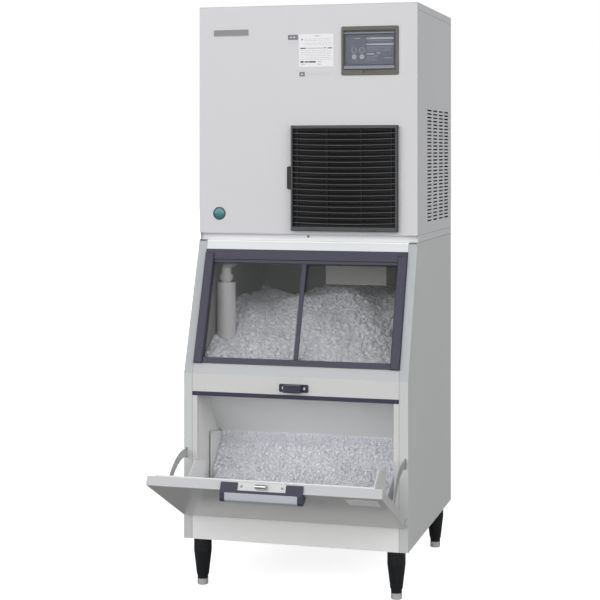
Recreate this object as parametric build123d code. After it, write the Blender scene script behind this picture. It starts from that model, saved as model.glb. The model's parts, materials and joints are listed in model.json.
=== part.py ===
"""Ice machine on its storage bin: a machine head, an insulated bin with sliding windows, a tilt-out
scoop door that stands open on two arc stays, and four legs with levelling feet.

Millimetres, +Z up, +X to the right seen from the front, -Y towards the front. The pieces are drawn
with y = 0 at the head's front face and moved by one shift at the end, so that the origin lies on the
floor under the middle of the whole machine with its door open.
"""

from build123d import *
from math import cos, hypot, radians, sin
import os

# Overall cabinet
WIDTH = 700.0
HEAD_DEPTH = 590.0
HEAD_HEIGHT = 733.0
BIN_NOSE = 145.0
LEG_HEIGHT = 150.0
BIN_TOP = 1057.0
TOTAL_HEIGHT = BIN_TOP + HEAD_HEIGHT
SLOPE_STEP = 4.0
SLOPE_TOP = BIN_TOP - SLOPE_STEP
SLOPE_FOOT = 656.0
SLOPE_RUN = SLOPE_TOP - SLOPE_FOOT
SLOPE_LENGTH = hypot(BIN_NOSE, SLOPE_RUN)
SHEET = 1.2
FOLD_DEPTH = 14.0
POST_WIDTH = 27.0
SEAM = 0.3
HALF = WIDTH / 2
INSIDE = HALF - SHEET
POST_IN = HALF - POST_WIDTH
REAR_IN = HEAD_DEPTH - SHEET

# Insulated tub
WALL = 43.0
TUB_FLOOR = 45.0
TUB_REAR = 45.0
FLOOR_PLATE = 2.0
CAVITY_HALF = HALF - WALL
CAVITY_FLOOR = LEG_HEIGHT + TUB_FLOOR
CAVITY_REAR = HEAD_DEPTH - TUB_REAR
CAVITY_FRONT = -BIN_NOSE + WALL

# Window in the sloping front, measured down the slope from its top edge
HEADER_END = 26.0
TOP_RAIL_END = 68.0
TOP_RAIL_LIP = 10.0
FOOT_STRIP = 33.15
BOTTOM_RAIL_HEIGHT = 18.5
BOTTOM_RAIL_END = SLOPE_LENGTH - FOOT_STRIP
BOTTOM_RAIL_START = BOTTOM_RAIL_END - BOTTOM_RAIL_HEIGHT
SIDE_RAIL_START = 39.0
SIDE_RAIL_LAP = 1.5
SIDE_RAIL_END = BOTTOM_RAIL_END + SIDE_RAIL_LAP
SIDE_RAIL_WIDTH = 28.0
SIDE_RAIL_PROUD = 10.0
CROSS_RAIL_PROUD = 4.0
RAIL_GAP = 1.0
RAIL_OUTER = POST_IN - RAIL_GAP
RAIL_INNER = RAIL_OUTER - SIDE_RAIL_WIDTH
PANE = 3.0
PANE_FRONT = 2.0
TRACK_STEP = 7.0
TRACK_GAP = 0.3
TRACK_DEPTH = 12.0
STILE_WIDTH = 14.0
STILE_PROUD = 3.0
STILE_RIGHT = 8.0
PANE_LAP = 20.0

# Scoop opening, its trim and the strike above it
OPENING_TOP = 589.0
OPENING_BOTTOM = 262.0
TRIM_HEIGHT = 13.0
TRIM_PROUD = 1.5
SILL = 13.0
STRIKE_HALF = 45.5
STRIKE_LOW = 611.0
STRIKE_HIGH = 635.0
STRIKE_PLATE = 3.0
BLOCK_HALF = 26.0
BLOCK_REACH = 30.0

# Baffle and guards inside the opening
BAFFLE_FOOT = (66.0, 450.0)
BAFFLE_SHEET = 2.0
BAFFLE_FLANGE = 28.0
GUARD_SHEET = 3.0
GUARD_OFF_WALL = 4.0
GUARD_SPACER_Y = (0.0, 80.0)
GUARD_SPACER_Z = 380.0
GUARD_SPACER_RADIUS = 5.0
GUARD_OUTLINE = [(-31.0, 300.0), (-31.0, 458.0), (72.0, 446.0), (100.0, 425.0), (112.0, 300.0)]

# Door, drawn closed and then swung open
DOOR_SIDE = 5.0
DOOR_HALF = HALF - DOOR_SIDE
DOOR_LOW = 233.5
DOOR_HIGH = 590.0
DOOR_GAP = 5.0
DOOR_THICK = 28.0
DOOR_INNER = -BIN_NOSE - DOOR_GAP
DOOR_OUTER = DOOR_INNER - DOOR_THICK
DOOR_OPEN = 64.0
HINGE_UP = 9.0
HINGE_BACK = 13.0
HINGE_Y = DOOR_INNER - HINGE_BACK
HINGE_Z = DOOR_LOW + HINGE_UP
HINGE_PIN = 4.0
LUG_GAP = 1.0
LUG_RADIUS = 9.5
RUNNING = 0.05
LINER_INSET = 25.0
LINER_RIM = 4.0
DISH = 9.0
DOOR_GUARD_INSET = 24.0
DOOR_GUARD_X = CAVITY_HALF - DOOR_GUARD_INSET
DOOR_GUARD_LOW = 282.0
DOOR_GUARD_REACH = [(-46.0, 384.0), (-22.0, 292.0), (-30.0, DOOR_GUARD_LOW)]
DOOR_GUARD_TOP = 450.0

# Arc stays
STAY_RADIUS = 172.0
STAY_WIDTH = 24.0
STAY_THICK = 3.0
STAY_FROM_SIDE = 8.5
STAY_X = HALF - STAY_FROM_SIDE
STAY_SLOT = 4.5
STAY_SLACK = 2.5
STAY_TAIL = 12.0

# Handle and latch
HANDLE_HALF = 120.5
HANDLE_LUG = 49.5
HANDLE_FRONT = 8.0
HANDLE_TOP = 6.0
HANDLE_DROP = 34.0
CAP_WIDTH = 14.0
GRIP_REACH = 22.0
GRIP_WALL = 3.0
HORN_ROUND = 6.0
PLATE_HALF = 70.8
PLATE_THICK = 2.0
BOLT_HALF = 15.5
BOLT_RADIUS = 6.0
BOLT_LENGTH = 36.0
BOLT_TRAVEL = 6.0
BOLT_CLEAR = 0.5

# Head front
BASE_STRIP = 22.0
FRONT_LOW = BIN_TOP + BASE_STRIP
RECESS = 22.0
COVER_SKIRT = 22.0
RETURN = 12.0
EDGE_ROUND = 2.5
GRILLE_WIDTH = 337.0
GRILLE_FROM_SIDE = 59.0
GRILLE_LEFT = HALF - GRILLE_FROM_SIDE - GRILLE_WIDTH
GRILLE_RISE = 11.0
GRILLE_LOW = FRONT_LOW + GRILLE_RISE
GRILLE_HEIGHT = 326.0
GRILLE_PROUD = 18.0
GRILLE_TOP_BAR = 9.0
GRILLE_BOTTOM_BAR = 13.0
GRILLE_SIDE_BAR = 6.0
BLADE_COUNT = 17
BLADE_PITCH = 17.3
BLADE_THICK = 2.2
BLADE_BULGE = 3.5
FILTER_THICK = 6.0
FILTER_BACK = 2.0
FILTER_RIM = 8.0
FILTER_MESH = 1.6
TAB_WIDTH = 14.5
TAB_RISE = 128.0
TAB_HEIGHT = 71.0
TAB_LOW = GRILLE_LOW + TAB_RISE
TAB_HIGH = TAB_LOW + TAB_HEIGHT

# Control window
BEZEL_WIDTH = 180.0
BEZEL_HEIGHT = 150.0
BEZEL_FROM_SIDE = 58.0
BEZEL_RIGHT = HALF - BEZEL_FROM_SIDE
BEZEL_LEFT = BEZEL_RIGHT - BEZEL_WIDTH
BEZEL_FROM_TOP = 70.0
BEZEL_HIGH = TOTAL_HEIGHT - BEZEL_FROM_TOP
BEZEL_LOW = BEZEL_HIGH - BEZEL_HEIGHT
BEZEL_PROUD = 4.0
BEZEL_BODY = 12.0
COVER_LEFT = BEZEL_LEFT + 9.0
COVER_RIGHT = BEZEL_RIGHT - 12.0
COVER_LOW = BEZEL_LOW + 16.0
COVER_HIGH = BEZEL_HIGH - 13.0
COVER_THICK = 2.5
COVER_BARREL = 2.5
COVER_GAP = 0.5
COVER_PIN = 1.5
NOTCH_LEFT = COVER_LEFT + 59.0
NOTCH_WIDTH = 39.0
NOTCH_DEPTH = 10.0
KEY_X = (COVER_LEFT + 30.5, COVER_LEFT + 55.2)
KEY_Z = (COVER_HIGH - 60.5, COVER_HIGH - 80.5)
KEY_RADIUS = (9.0, 7.3)
KEY_TRAVEL = 1.0
KEYPAD_THICK = 4.0

# Vent slots
SLOT_LENGTH = 73.0
SLOT_HEIGHT = 5.0
SLOT_PITCH = 11.2
SLOT_ROWS = 32
SLOT_RISE = 408.0
SLOT_TOP = BIN_TOP + SLOT_RISE
SLOT_FROM_REAR = (393.0, 292.0, 191.0, 92.0)
SLOT_COLUMNS = [HEAD_DEPTH - off for off in SLOT_FROM_REAR]
REAR_SLOT_ROWS = 14
REAR_SLOT_FROM_SIDE = (100.0, 200.0, 300.0)
REAR_SLOT_COLUMNS = [-HALF + off for off in REAR_SLOT_FROM_SIDE]

# Machinery
CONDENSER_DEPTH = 56.0
CONDENSER_FRONT = 26.0
CONDENSER_INSET = 8.0
END_PLATE = 2.0
SHROUD_DEPTH = 60.0
FAN_RADIUS = 138.0
FAN_CLEAR = 7.0
FAN_BLADES = 5
FAN_PITCH = 28.0
FAN_HUB = 34.0
MOTOR_RADIUS = 40.0
MOTOR_LENGTH = 52.0
COMPRESSOR_FROM_SIDE = 145.0
COMPRESSOR_FROM_REAR = 110.0
COMPRESSOR_X = HALF - COMPRESSOR_FROM_SIDE
COMPRESSOR_Y = HEAD_DEPTH - COMPRESSOR_FROM_REAR
COMPRESSOR_RADIUS = 78.0
COMPRESSOR_HEIGHT = 230.0
PIPE_RADIUS = 5.0
PIPE_BEND = 14.0
PIPE_WIDE_BEND = 30.0
DISCHARGE_OFF = 100.0
DISCHARGE_RISE = 60.0
SUCTION_RISE = 90.0
BARREL_FROM_SIDE = 180.0
BARREL_X = -HALF + BARREL_FROM_SIDE
BARREL_BORE = 48.0
BARREL_RADIUS = 62.0
BARREL_RISE = 168.0
BARREL_HEADROOM = 250.0
BARREL_LOW = BIN_TOP + BARREL_RISE
BARREL_HIGH = TOTAL_HEIGHT - BARREL_HEADROOM
AUGER_SHAFT = 20.0
AUGER_CLEAR = 0.6
AUGER_PITCH = 62.0
DRIVE_SHAFT = 12.0
CHUTE_LEFT = 5.0
CHUTE_RIGHT = 205.0
CHUTE_FRONT = 222.0
CHUTE_OFF_CAN = 24.0
CHUTE_BACK = COMPRESSOR_Y - COMPRESSOR_RADIUS - CHUTE_OFF_CAN
BARREL_Y = (CHUTE_FRONT + CHUTE_BACK) / 2
CHUTE_WALL = 2.0
CHUTE_DROP = 151.0
CHUTE_HEADROOM = 100.0
CHUTE_LOW = BIN_TOP - CHUTE_DROP
CHUTE_HIGH = TOTAL_HEIGHT - CHUTE_HEADROOM
TANK = (110.0, 140.0, 120.0)
TANK_WALL = 2.5
TANK_RISE = 273.0
TANK_Z = BIN_TOP + TANK_RISE
TANK_Y = 60.0
FLOAT_RADIUS = 30.0
FLOAT_HEIGHT = 28.0
FLOAT_STEM = 4.0

# Drain sleeve seen through the window
SLEEVE_OFF_WALL = 33.0
SLEEVE_X = -CAVITY_HALF + SLEEVE_OFF_WALL
SLEEVE_Y = 42.0
SLEEVE_RADIUS = 30.0
SLEEVE_DROP = 135.0
SLEEVE_TOP = BIN_TOP - SLEEVE_DROP
SLEEVE_LOW = 690.0
PIPE_TURN_DROP = 81.0
PIPE_TURN_Z = BIN_TOP - PIPE_TURN_DROP
PIPE_RISE_Y = 112.0
NECK_RADIUS = 16.0

# Rear fittings
INLET_RADIUS = 10.0
DRAIN_BORE = 12.0

# Legs and feet
LEG_FROM_SIDE = 45.0
LEG_FROM_NOSE = 48.0
LEG_FROM_REAR = 50.0
LEG_X = HALF - LEG_FROM_SIDE
LEG_FRONT = -BIN_NOSE + LEG_FROM_NOSE
LEG_REAR = HEAD_DEPTH - LEG_FROM_REAR
LEG_TOP_RADIUS = 27.5
LEG_WAIST_RADIUS = 19.0
LEG_END_RADIUS = 16.5
FOOT_RADIUS = 16.5
FOOT_HEIGHT = 19.0
STEM_RADIUS = 5.0
STEM_LENGTH = 26.0

# Stored ice
ICE_GAP = 0.5
ICE_BEHIND_PANE = 4.0
ICE_COLUMNS = 7
HEAP_LOW = 700.0
HEAP_UNDER_CHUTE = 41.0
HEAP_RISE = CHUTE_LOW - HEAP_UNDER_CHUTE - HEAP_LOW
HEAP_FRONT = -95.0
HEAP_RUN = 330.0
SCOOP_ICE_Y = -31.0
SCOOP_ICE_Z = 345.0
SCOOP_ICE_SLOPE = 0.62

os.makedirs("parts", exist_ok=True)


# The sloping front: its angle, its plane and its offsets
SLOPE_SIN = BIN_NOSE / SLOPE_LENGTH
SLOPE_COS = SLOPE_RUN / SLOPE_LENGTH
SLOPE = Plane(origin=(0, 0, SLOPE_TOP), x_dir=(1, 0, 0), z_dir=(0, -SLOPE_COS, SLOPE_SIN))
SLOPE_OUT = Axis((0, 0, SLOPE_TOP), (0, -SLOPE_COS, SLOPE_SIN))


def block(x0, x1, y0, y1, z0, z1):
    """A box between two corners."""
    return Pos((x0 + x1) / 2, (y0 + y1) / 2, (z0 + z1) / 2) * Box(x1 - x0, y1 - y0, z1 - z0)


def slope_block(x0, x1, down0, down1, low, high):
    """A box in the sloping plane: down runs down the slope, low to high outwards from it."""
    return SLOPE.location * block(x0, x1, -down1, -down0, low, high)


def prism_x(outline, x0, x1):
    """Extrudes an outline of (y, z) points from x0 to x1."""
    face = make_face(Polyline(*outline, close=True))
    return Pos(x0, 0, 0) * extrude(Plane.YZ * face, amount=x1 - x0)


def prism_y(outline, y0, y1):
    """Extrudes an outline of (x, z) points from y0 to y1."""
    face = make_face(Polyline(*outline, close=True))
    return Pos(0, y1, 0) * extrude(Plane.XZ * face, amount=y1 - y0)


def rod_x(radius, x0, x1, y, z):
    """A round bar along X."""
    return Pos((x0 + x1) / 2, y, z) * Rot(0, 90, 0) * Cylinder(radius, x1 - x0)


def rod_y(radius, x, y0, y1, z):
    """A round bar along Y."""
    return Pos(x, (y0 + y1) / 2, z) * Rot(90, 0, 0) * Cylinder(radius, y1 - y0)


def rod_z(radius, x, y, z0, z1):
    """A round bar along Z."""
    return Pos(x, y, (z0 + z1) / 2) * Cylinder(radius, z1 - z0)


def both(make):
    """The left and the right copy of a piece that make(side) draws, side being -1 or 1."""
    return make(-1) + make(1)


def span(side, inner, outer):
    """The two ends of a stretch from inner to outer on one side, in rising order."""
    return sorted((side * inner, side * outer))


def front_y(z, depth=0.0):
    """How far forward the bin's front lies at a height, measured depth inside its skin."""
    on_slope = (depth + SLOPE_SIN * (z - SLOPE_TOP)) / SLOPE_COS
    return max(on_slope, -BIN_NOSE + depth)


def crease_z(depth=0.0):
    """The height at which the slope meets the upright front, measured depth inside the skin."""
    return SLOPE_TOP + (SLOPE_COS * (depth - BIN_NOSE) - depth) / SLOPE_SIN


def front_line(depth, low, high):
    """Points up the bin's front at a depth inside its skin."""
    middle = [(front_y(crease_z(depth), depth), crease_z(depth))] if low < crease_z(depth) < high else []
    return [(front_y(low, depth), low), *middle, (front_y(high, depth), high)]


def front_band(outer, inner, low, high):
    """The outline between two depths inside the bin's front."""
    return front_line(outer, low, high) + front_line(inner, low, high)[::-1]


def slope_point(down, depth=0.0):
    """The (y, z) of a point down the slope from its top edge and depth inside its skin."""
    return (depth * SLOPE_COS - down * SLOPE_SIN, SLOPE_TOP - down * SLOPE_COS - depth * SLOPE_SIN)


def sector(r0, r1, start, end, x0, x1, y, z):
    """Part of a ring about an axis along X, between two angles counted from +Y towards +Z."""
    def at(radius, angle):
        return (y + radius * cos(radians(angle)), z + radius * sin(radians(angle)))
    mid = (start + end) / 2
    outline = [
        ThreePointArc(at(r1, start), at(r1, mid), at(r1, end)),
        Line(at(r1, end), at(r0, end)),
        ThreePointArc(at(r0, end), at(r0, mid), at(r0, start)),
        Line(at(r0, start), at(r1, start)),
    ]
    return Pos(x0, 0, 0) * extrude(Plane.YZ * make_face(outline), amount=x1 - x0)


def swing(shape):
    """Turns a closed door piece to where it stands open."""
    return Pos(0, HINGE_Y, HINGE_Z) * Rot(DOOR_OPEN, 0, 0) * Pos(0, -HINGE_Y, -HINGE_Z) * shape


def slotted_sheet(width, height, slots):
    """A flat face in XY with rectangular slots, each given as (x, y) of its centre."""
    outer = Wire.make_rect(width, height)
    inner = [Pos(x, y) * Wire.make_rect(SLOT_LENGTH, SLOT_HEIGHT) for x, y in slots]
    return Face(outer, inner)


# Bin
def bin_side(side):
    """Side sheet with its corner post, stay slot and hinge lug."""
    sheet = prism_x(front_line(0, LEG_HEIGHT, SLOPE_TOP)
                    + [(0, BIN_TOP), (HEAD_DEPTH, BIN_TOP), (HEAD_DEPTH, LEG_HEIGHT)],
                    *span(side, INSIDE, HALF))
    face = prism_x(front_band(0, SHEET, LEG_HEIGHT, SLOPE_TOP), *span(side, POST_IN, HALF))
    lip = prism_x(front_band(0, FOLD_DEPTH, LEG_HEIGHT, SLOPE_TOP),
                  *span(side, POST_IN, POST_IN + SHEET))
    slot = stay_slot(side, STAY_SLACK, -BIN_NOSE - 1, -BIN_NOSE + FOLD_DEPTH)
    lug_x = span(side, DOOR_HALF + LUG_GAP, HALF - LUG_GAP)
    lug = rod_x(LUG_RADIUS, *lug_x, HINGE_Y, HINGE_Z)
    lug += block(*lug_x, HINGE_Y, -BIN_NOSE + SHEET, HINGE_Z - LUG_RADIUS, HINGE_Z + LUG_RADIUS)
    bore = rod_x(HINGE_PIN + RUNNING, *span(side, DOOR_HALF - 1, HALF + 1), HINGE_Y, HINGE_Z)
    return sheet + face + lip - slot + lug - bore


def stay_slot(side, slack, y0, y1):
    """The upright slot that a stay passes through, between two depths."""
    inner = STAY_RADIUS - STAY_WIDTH / 2 - slack
    outer = STAY_RADIUS + STAY_WIDTH / 2 + slack
    reach = y1 - HINGE_Y
    low = HINGE_Z + (inner ** 2 - reach ** 2) ** 0.5
    return block(*span(side, STAY_X - STAY_SLOT / 2, STAY_X + STAY_SLOT / 2), y0, y1,
                 low, HINGE_Z + outer)


def bin_rear():
    """Flat rear sheet between the side sheets."""
    return block(-INSIDE, INSIDE, REAR_IN, HEAD_DEPTH, LEG_HEIGHT, BIN_TOP)


def bin_floor():
    """Plate under the tub that the legs are screwed to."""
    return block(-INSIDE, INSIDE, -BIN_NOSE + FOLD_DEPTH, REAR_IN, LEG_HEIGHT,
                 LEG_HEIGHT + FLOOR_PLATE)


def bin_tub():
    """Foam-filled tub: open at the top, at the window and at the scoop opening."""
    low = LEG_HEIGHT + FLOOR_PLATE
    outside = prism_x(front_line(FOLD_DEPTH, low, BIN_TOP) + [(REAR_IN, BIN_TOP), (REAR_IN, low)],
                      -INSIDE, INSIDE)
    cavity = prism_x(front_line(WALL, CAVITY_FLOOR, BIN_TOP + 1)
                     + [(CAVITY_REAR, BIN_TOP + 1), (CAVITY_REAR, CAVITY_FLOOR)],
                     -CAVITY_HALF, CAVITY_HALF)
    window = slope_block(-CAVITY_HALF, CAVITY_HALF, TOP_RAIL_END - TRACK_DEPTH,
                         BOTTOM_RAIL_START + TRACK_DEPTH / 2, -WALL - 1, 0)
    scoop = block(-CAVITY_HALF, CAVITY_HALF, -BIN_NOSE, CAVITY_FRONT + 1, OPENING_BOTTOM,
                  OPENING_TOP)
    return outside - cavity - window - scoop - both(stay_pocket) - ledge_recess()


def ledge_recess():
    """Step in the tub's front for the top ledge of the header."""
    return block(-INSIDE, INSIDE, -1, RECESS * 2, BIN_TOP - SHEET, BIN_TOP + 1)


def stay_pocket(side):
    """Slot in the tub's side wall that takes a stay when the door is shut."""
    inner = STAY_RADIUS - STAY_WIDTH / 2 - STAY_SLACK
    outer = STAY_RADIUS + STAY_WIDTH / 2 + STAY_SLACK
    return sector(inner, outer, STAY_TAIL - 4, 90,
                  *span(side, STAY_X - STAY_SLOT / 2, STAY_X + STAY_SLOT / 2), HINGE_Y, HINGE_Z)


def top_header():
    """Narrow folded strip above the window, with a ledge under the head."""
    half = POST_IN - SEAM
    face = slope_block(-half, half, 0, HEADER_END, -SHEET, 0)
    foot = slope_block(-half, half, HEADER_END - SHEET, HEADER_END, -FOLD_DEPTH, 0)
    riser = block(-half, half, 0, SHEET, SLOPE_TOP - 2 * SHEET, BIN_TOP)
    ledge = block(-half, half, 0, RECESS * 2, BIN_TOP - SHEET, BIN_TOP)
    return face + foot + riser + ledge


def tracks(x0, x1, down0, down1):
    """The two grooves that the panes slide in."""
    cuts = []
    for track in range(2):
        high = -PANE_FRONT - track * TRACK_STEP + TRACK_GAP
        cuts.append(slope_block(x0, x1, down0, down1, high - PANE - 2 * TRACK_GAP, high))
    return cuts


def window_cross_rails():
    """Top and bottom rail of the window, grooved for the panes."""
    back = -FOLD_DEPTH
    reach = RAIL_OUTER
    top = slope_block(-reach, reach, HEADER_END, TOP_RAIL_END - TOP_RAIL_LIP, back,
                      CROSS_RAIL_PROUD)
    top += slope_block(-reach, reach, TOP_RAIL_END - TOP_RAIL_LIP, TOP_RAIL_END, back, 0)
    bottom = slope_block(-reach, reach, BOTTOM_RAIL_START, BOTTOM_RAIL_END, back,
                         CROSS_RAIL_PROUD)
    for cut in tracks(-CAVITY_HALF, CAVITY_HALF, TOP_RAIL_END - TRACK_DEPTH, TOP_RAIL_END + 1):
        top -= cut
    for cut in tracks(-CAVITY_HALF, CAVITY_HALF, BOTTOM_RAIL_START - 1,
                      BOTTOM_RAIL_START + TRACK_DEPTH):
        bottom -= cut
    return top, bottom


def window_side_rail(side):
    """Side rail: a rounded cover strip on a grooved core."""
    rounding = 3.5
    strip = slope_block(*span(side, RAIL_INNER, RAIL_OUTER), SIDE_RAIL_START, SIDE_RAIL_END,
                        CROSS_RAIL_PROUD, SIDE_RAIL_PROUD)
    top_edges = strip.faces().sort_by(SLOPE_OUT)[-1].edges()
    strip = fillet(top_edges, rounding)
    core = slope_block(*span(side, RAIL_INNER, RAIL_OUTER), TOP_RAIL_END, BOTTOM_RAIL_START,
                       -FOLD_DEPTH, CROSS_RAIL_PROUD)
    for cut in tracks(*span(side, RAIL_INNER - 1, CAVITY_HALF + 1.5), TOP_RAIL_END,
                      BOTTOM_RAIL_START):
        core -= cut
    return strip + core


def window_pane(track, x0, x1):
    """One sliding pane, standing in its groove."""
    high = -PANE_FRONT - track * TRACK_STEP
    stand = TRACK_DEPTH - 1
    return slope_block(x0, x1, TOP_RAIL_END - stand + 4, BOTTOM_RAIL_START + stand + 0.7,
                       high - PANE, high)


def pane_stile():
    """Upright strip on the inner edge of the front pane."""
    strip = slope_block(STILE_RIGHT - STILE_WIDTH, STILE_RIGHT, TOP_RAIL_END + 1,
                        BOTTOM_RAIL_START - 1, -PANE_FRONT, STILE_PROUD)
    return fillet(strip.faces().sort_by(SLOPE_OUT)[-1].edges(), 1.5)


def middle_panel():
    """Folded panel between the window and the opening, creased where the slope ends."""
    half = POST_IN - SEAM
    low = OPENING_TOP + TRIM_HEIGHT
    high = slope_point(BOTTOM_RAIL_END, SHEET)[1]
    face = prism_x(front_band(0, SHEET, low, high), -half, half)
    foot = block(-half, half, -BIN_NOSE, -BIN_NOSE + FOLD_DEPTH, low, low + SHEET)
    head = slope_block(-half, half, BOTTOM_RAIL_END, BOTTOM_RAIL_END + SHEET, -FOLD_DEPTH, 0)
    return face + foot + head


def opening_trim():
    """Dark strip along the top of the scoop opening, which the door shuts against."""
    half = POST_IN - SEAM
    strip = block(-half, half, -BIN_NOSE - TRIM_PROUD, -BIN_NOSE + FOLD_DEPTH, OPENING_TOP,
                  OPENING_TOP + TRIM_HEIGHT)
    return fillet(strip.edges().filter_by(Axis.X).group_by(Axis.Y)[0], 1.2)


def opening_surround():
    """Frame round the sides and foot of the scoop opening."""
    half = POST_IN - SEAM
    ring = block(-half, half, -BIN_NOSE, -BIN_NOSE + FOLD_DEPTH, OPENING_BOTTOM - SILL,
                 OPENING_TOP)
    hole = block(-CAVITY_HALF, CAVITY_HALF, -BIN_NOSE - 1, -BIN_NOSE + FOLD_DEPTH + 1,
                 OPENING_BOTTOM, OPENING_TOP + 1)
    return ring - hole


def kick_panel():
    """Folded panel below the door."""
    half = POST_IN - SEAM
    high = OPENING_BOTTOM - SILL
    face = block(-half, half, -BIN_NOSE, -BIN_NOSE + SHEET, LEG_HEIGHT, high)
    top = block(-half, half, -BIN_NOSE, -BIN_NOSE + FOLD_DEPTH, high - SHEET, high)
    foot = block(-half, half, -BIN_NOSE, -BIN_NOSE + FOLD_DEPTH, LEG_HEIGHT, LEG_HEIGHT + SHEET)
    return face + top + foot


def strike():
    """Plate and block above the opening, with the groove that the latch bolt snaps into."""
    middle = (STRIKE_LOW + STRIKE_HIGH) / 2
    plate = block(-STRIKE_HALF, STRIKE_HALF, -BIN_NOSE - STRIKE_PLATE, -BIN_NOSE, STRIKE_LOW,
                  STRIKE_HIGH)
    plate = fillet(plate.edges().filter_by(Axis.Y), 4)
    low = STRIKE_LOW + 1
    body = block(-BLOCK_HALF, BLOCK_HALF, -BIN_NOSE - BLOCK_REACH, -BIN_NOSE - STRIKE_PLATE, low,
                 STRIKE_HIGH - 1)
    body = chamfer(body.edges().group_by(Axis.Y)[0], 3)
    groove = rod_x(BOLT_RADIUS, -BOLT_HALF - 1, BOLT_HALF + 1, BOLT_Y, low - BOLT_RADIUS + 1.5)
    for side in (-1, 1):
        hole = rod_y(2.2, side * (STRIKE_HALF - 13), -BIN_NOSE - STRIKE_PLATE - 1, -BIN_NOSE + 1,
                     middle)
        plate -= hole
    return plate + body - groove


def ice_baffle():
    """Sloping sheet that holds the ice back above the opening, hung from the front wall."""
    half = CAVITY_HALF - SEAM
    foot_y, foot_z = BAFFLE_FOOT
    top_y, top_z = CAVITY_FRONT, crease_z(WALL)
    length = hypot(foot_y - top_y, top_z - foot_z)
    dy = BAFFLE_SHEET * (top_z - foot_z) / length
    dz = BAFFLE_SHEET * (foot_y - top_y) / length
    sheet = prism_x([(foot_y, foot_z), (foot_y + dy, foot_z + dz), (top_y + dy, top_z + dz),
                     (top_y, top_z)], -half, half)
    return sheet + prism_x(front_band(WALL, WALL + BAFFLE_SHEET, top_z, top_z + BAFFLE_FLANGE),
                           -half, half)


def ice_guard(side):
    """Side plate on two spacers, which keeps ice off the opening's edge."""
    outer = CAVITY_HALF - GUARD_OFF_WALL
    plate = prism_x(GUARD_OUTLINE, *span(side, outer - GUARD_SHEET, outer))
    for y in GUARD_SPACER_Y:
        plate += rod_x(GUARD_SPACER_RADIUS, *span(side, outer - 1, CAVITY_HALF), y,
                       GUARD_SPACER_Z)
    return plate


def drain_sleeve():
    """Insulating sleeve on the drain pipe, which bends back and rises into the head."""
    sleeve = rod_z(SLEEVE_RADIUS, SLEEVE_X, SLEEVE_Y, SLEEVE_LOW, SLEEVE_TOP)
    collar = rod_z(NECK_RADIUS + 6, SLEEVE_X, SLEEVE_Y, SLEEVE_TOP + 8, SLEEVE_TOP + 26)
    pipe = tube([(SLEEVE_X, SLEEVE_Y, SLEEVE_TOP - 1), (SLEEVE_X, SLEEVE_Y, PIPE_TURN_Z),
                 (SLEEVE_X, PIPE_RISE_Y, PIPE_TURN_Z), (SLEEVE_X, PIPE_RISE_Y, BIN_TOP)],
                NECK_RADIUS, NECK_RADIUS + 4)
    return sleeve + collar + pipe


# Stored ice
def ice_top(x, y):
    """Height of the heap seen through the window."""
    rise = HEAP_LOW + HEAP_RISE * min(max((y - HEAP_FRONT) / HEAP_RUN, 0), 1) ** 0.8
    wave = 14 * sin(x / 62 + 0.6) + 9 * sin(x / 31 + y / 47) + 7 * cos(y / 38 - x / 90)
    edge = 26 * (x / CAVITY_HALF) ** 2
    return rise + wave - edge


def ice_front(x, y):
    """Height of the slope of ice in the scoop opening."""
    bump = 5 * sin(x / 41 + y / 23) + 4 * cos(x / 67 - y / 31)
    return SCOOP_ICE_Z + SCOOP_ICE_SLOPE * (y - SCOOP_ICE_Y) + bump + 10 * cos(x / 190)


def ice_column(x):
    """Outline of the ice at one x, as (y, z) points round the heap."""
    gap = ICE_GAP
    back, floor, front = CAVITY_REAR - gap, CAVITY_FLOOR + gap, CAVITY_FRONT + gap
    foot_y, foot_z = BAFFLE_FOOT
    lip = BOTTOM_RAIL_START + TRACK_DEPTH / 2 - gap
    window = slope_point(lip, FOLD_DEPTH + ICE_BEHIND_PANE)
    points = [(front, floor), (back, floor)]
    for step in range(9):
        y = back - step * (back - window[0] - 12) / 8
        points.append((y, max(ice_top(x, y), window[1] + 4)))
    points += [window, slope_point(lip, WALL + gap)]
    flange_top = crease_z(WALL) + BAFFLE_FLANGE + gap
    deep = WALL + BAFFLE_SHEET + gap
    points.append((front_y(flange_top, deep), flange_top))
    points.append((front_y(crease_z(WALL) + 2 * BAFFLE_SHEET, deep),
                   crease_z(WALL) + 2 * BAFFLE_SHEET))
    points.append((foot_y + BAFFLE_SHEET + gap, foot_z + BAFFLE_SHEET))
    points.append((foot_y + 8, min(ice_front(x, foot_y + 8), foot_z - 4)))
    for y in (35, 0, -38, -74):
        points.append((y, ice_front(x, y)))
    points.append((front, ice_front(x, front)))
    return points


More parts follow.
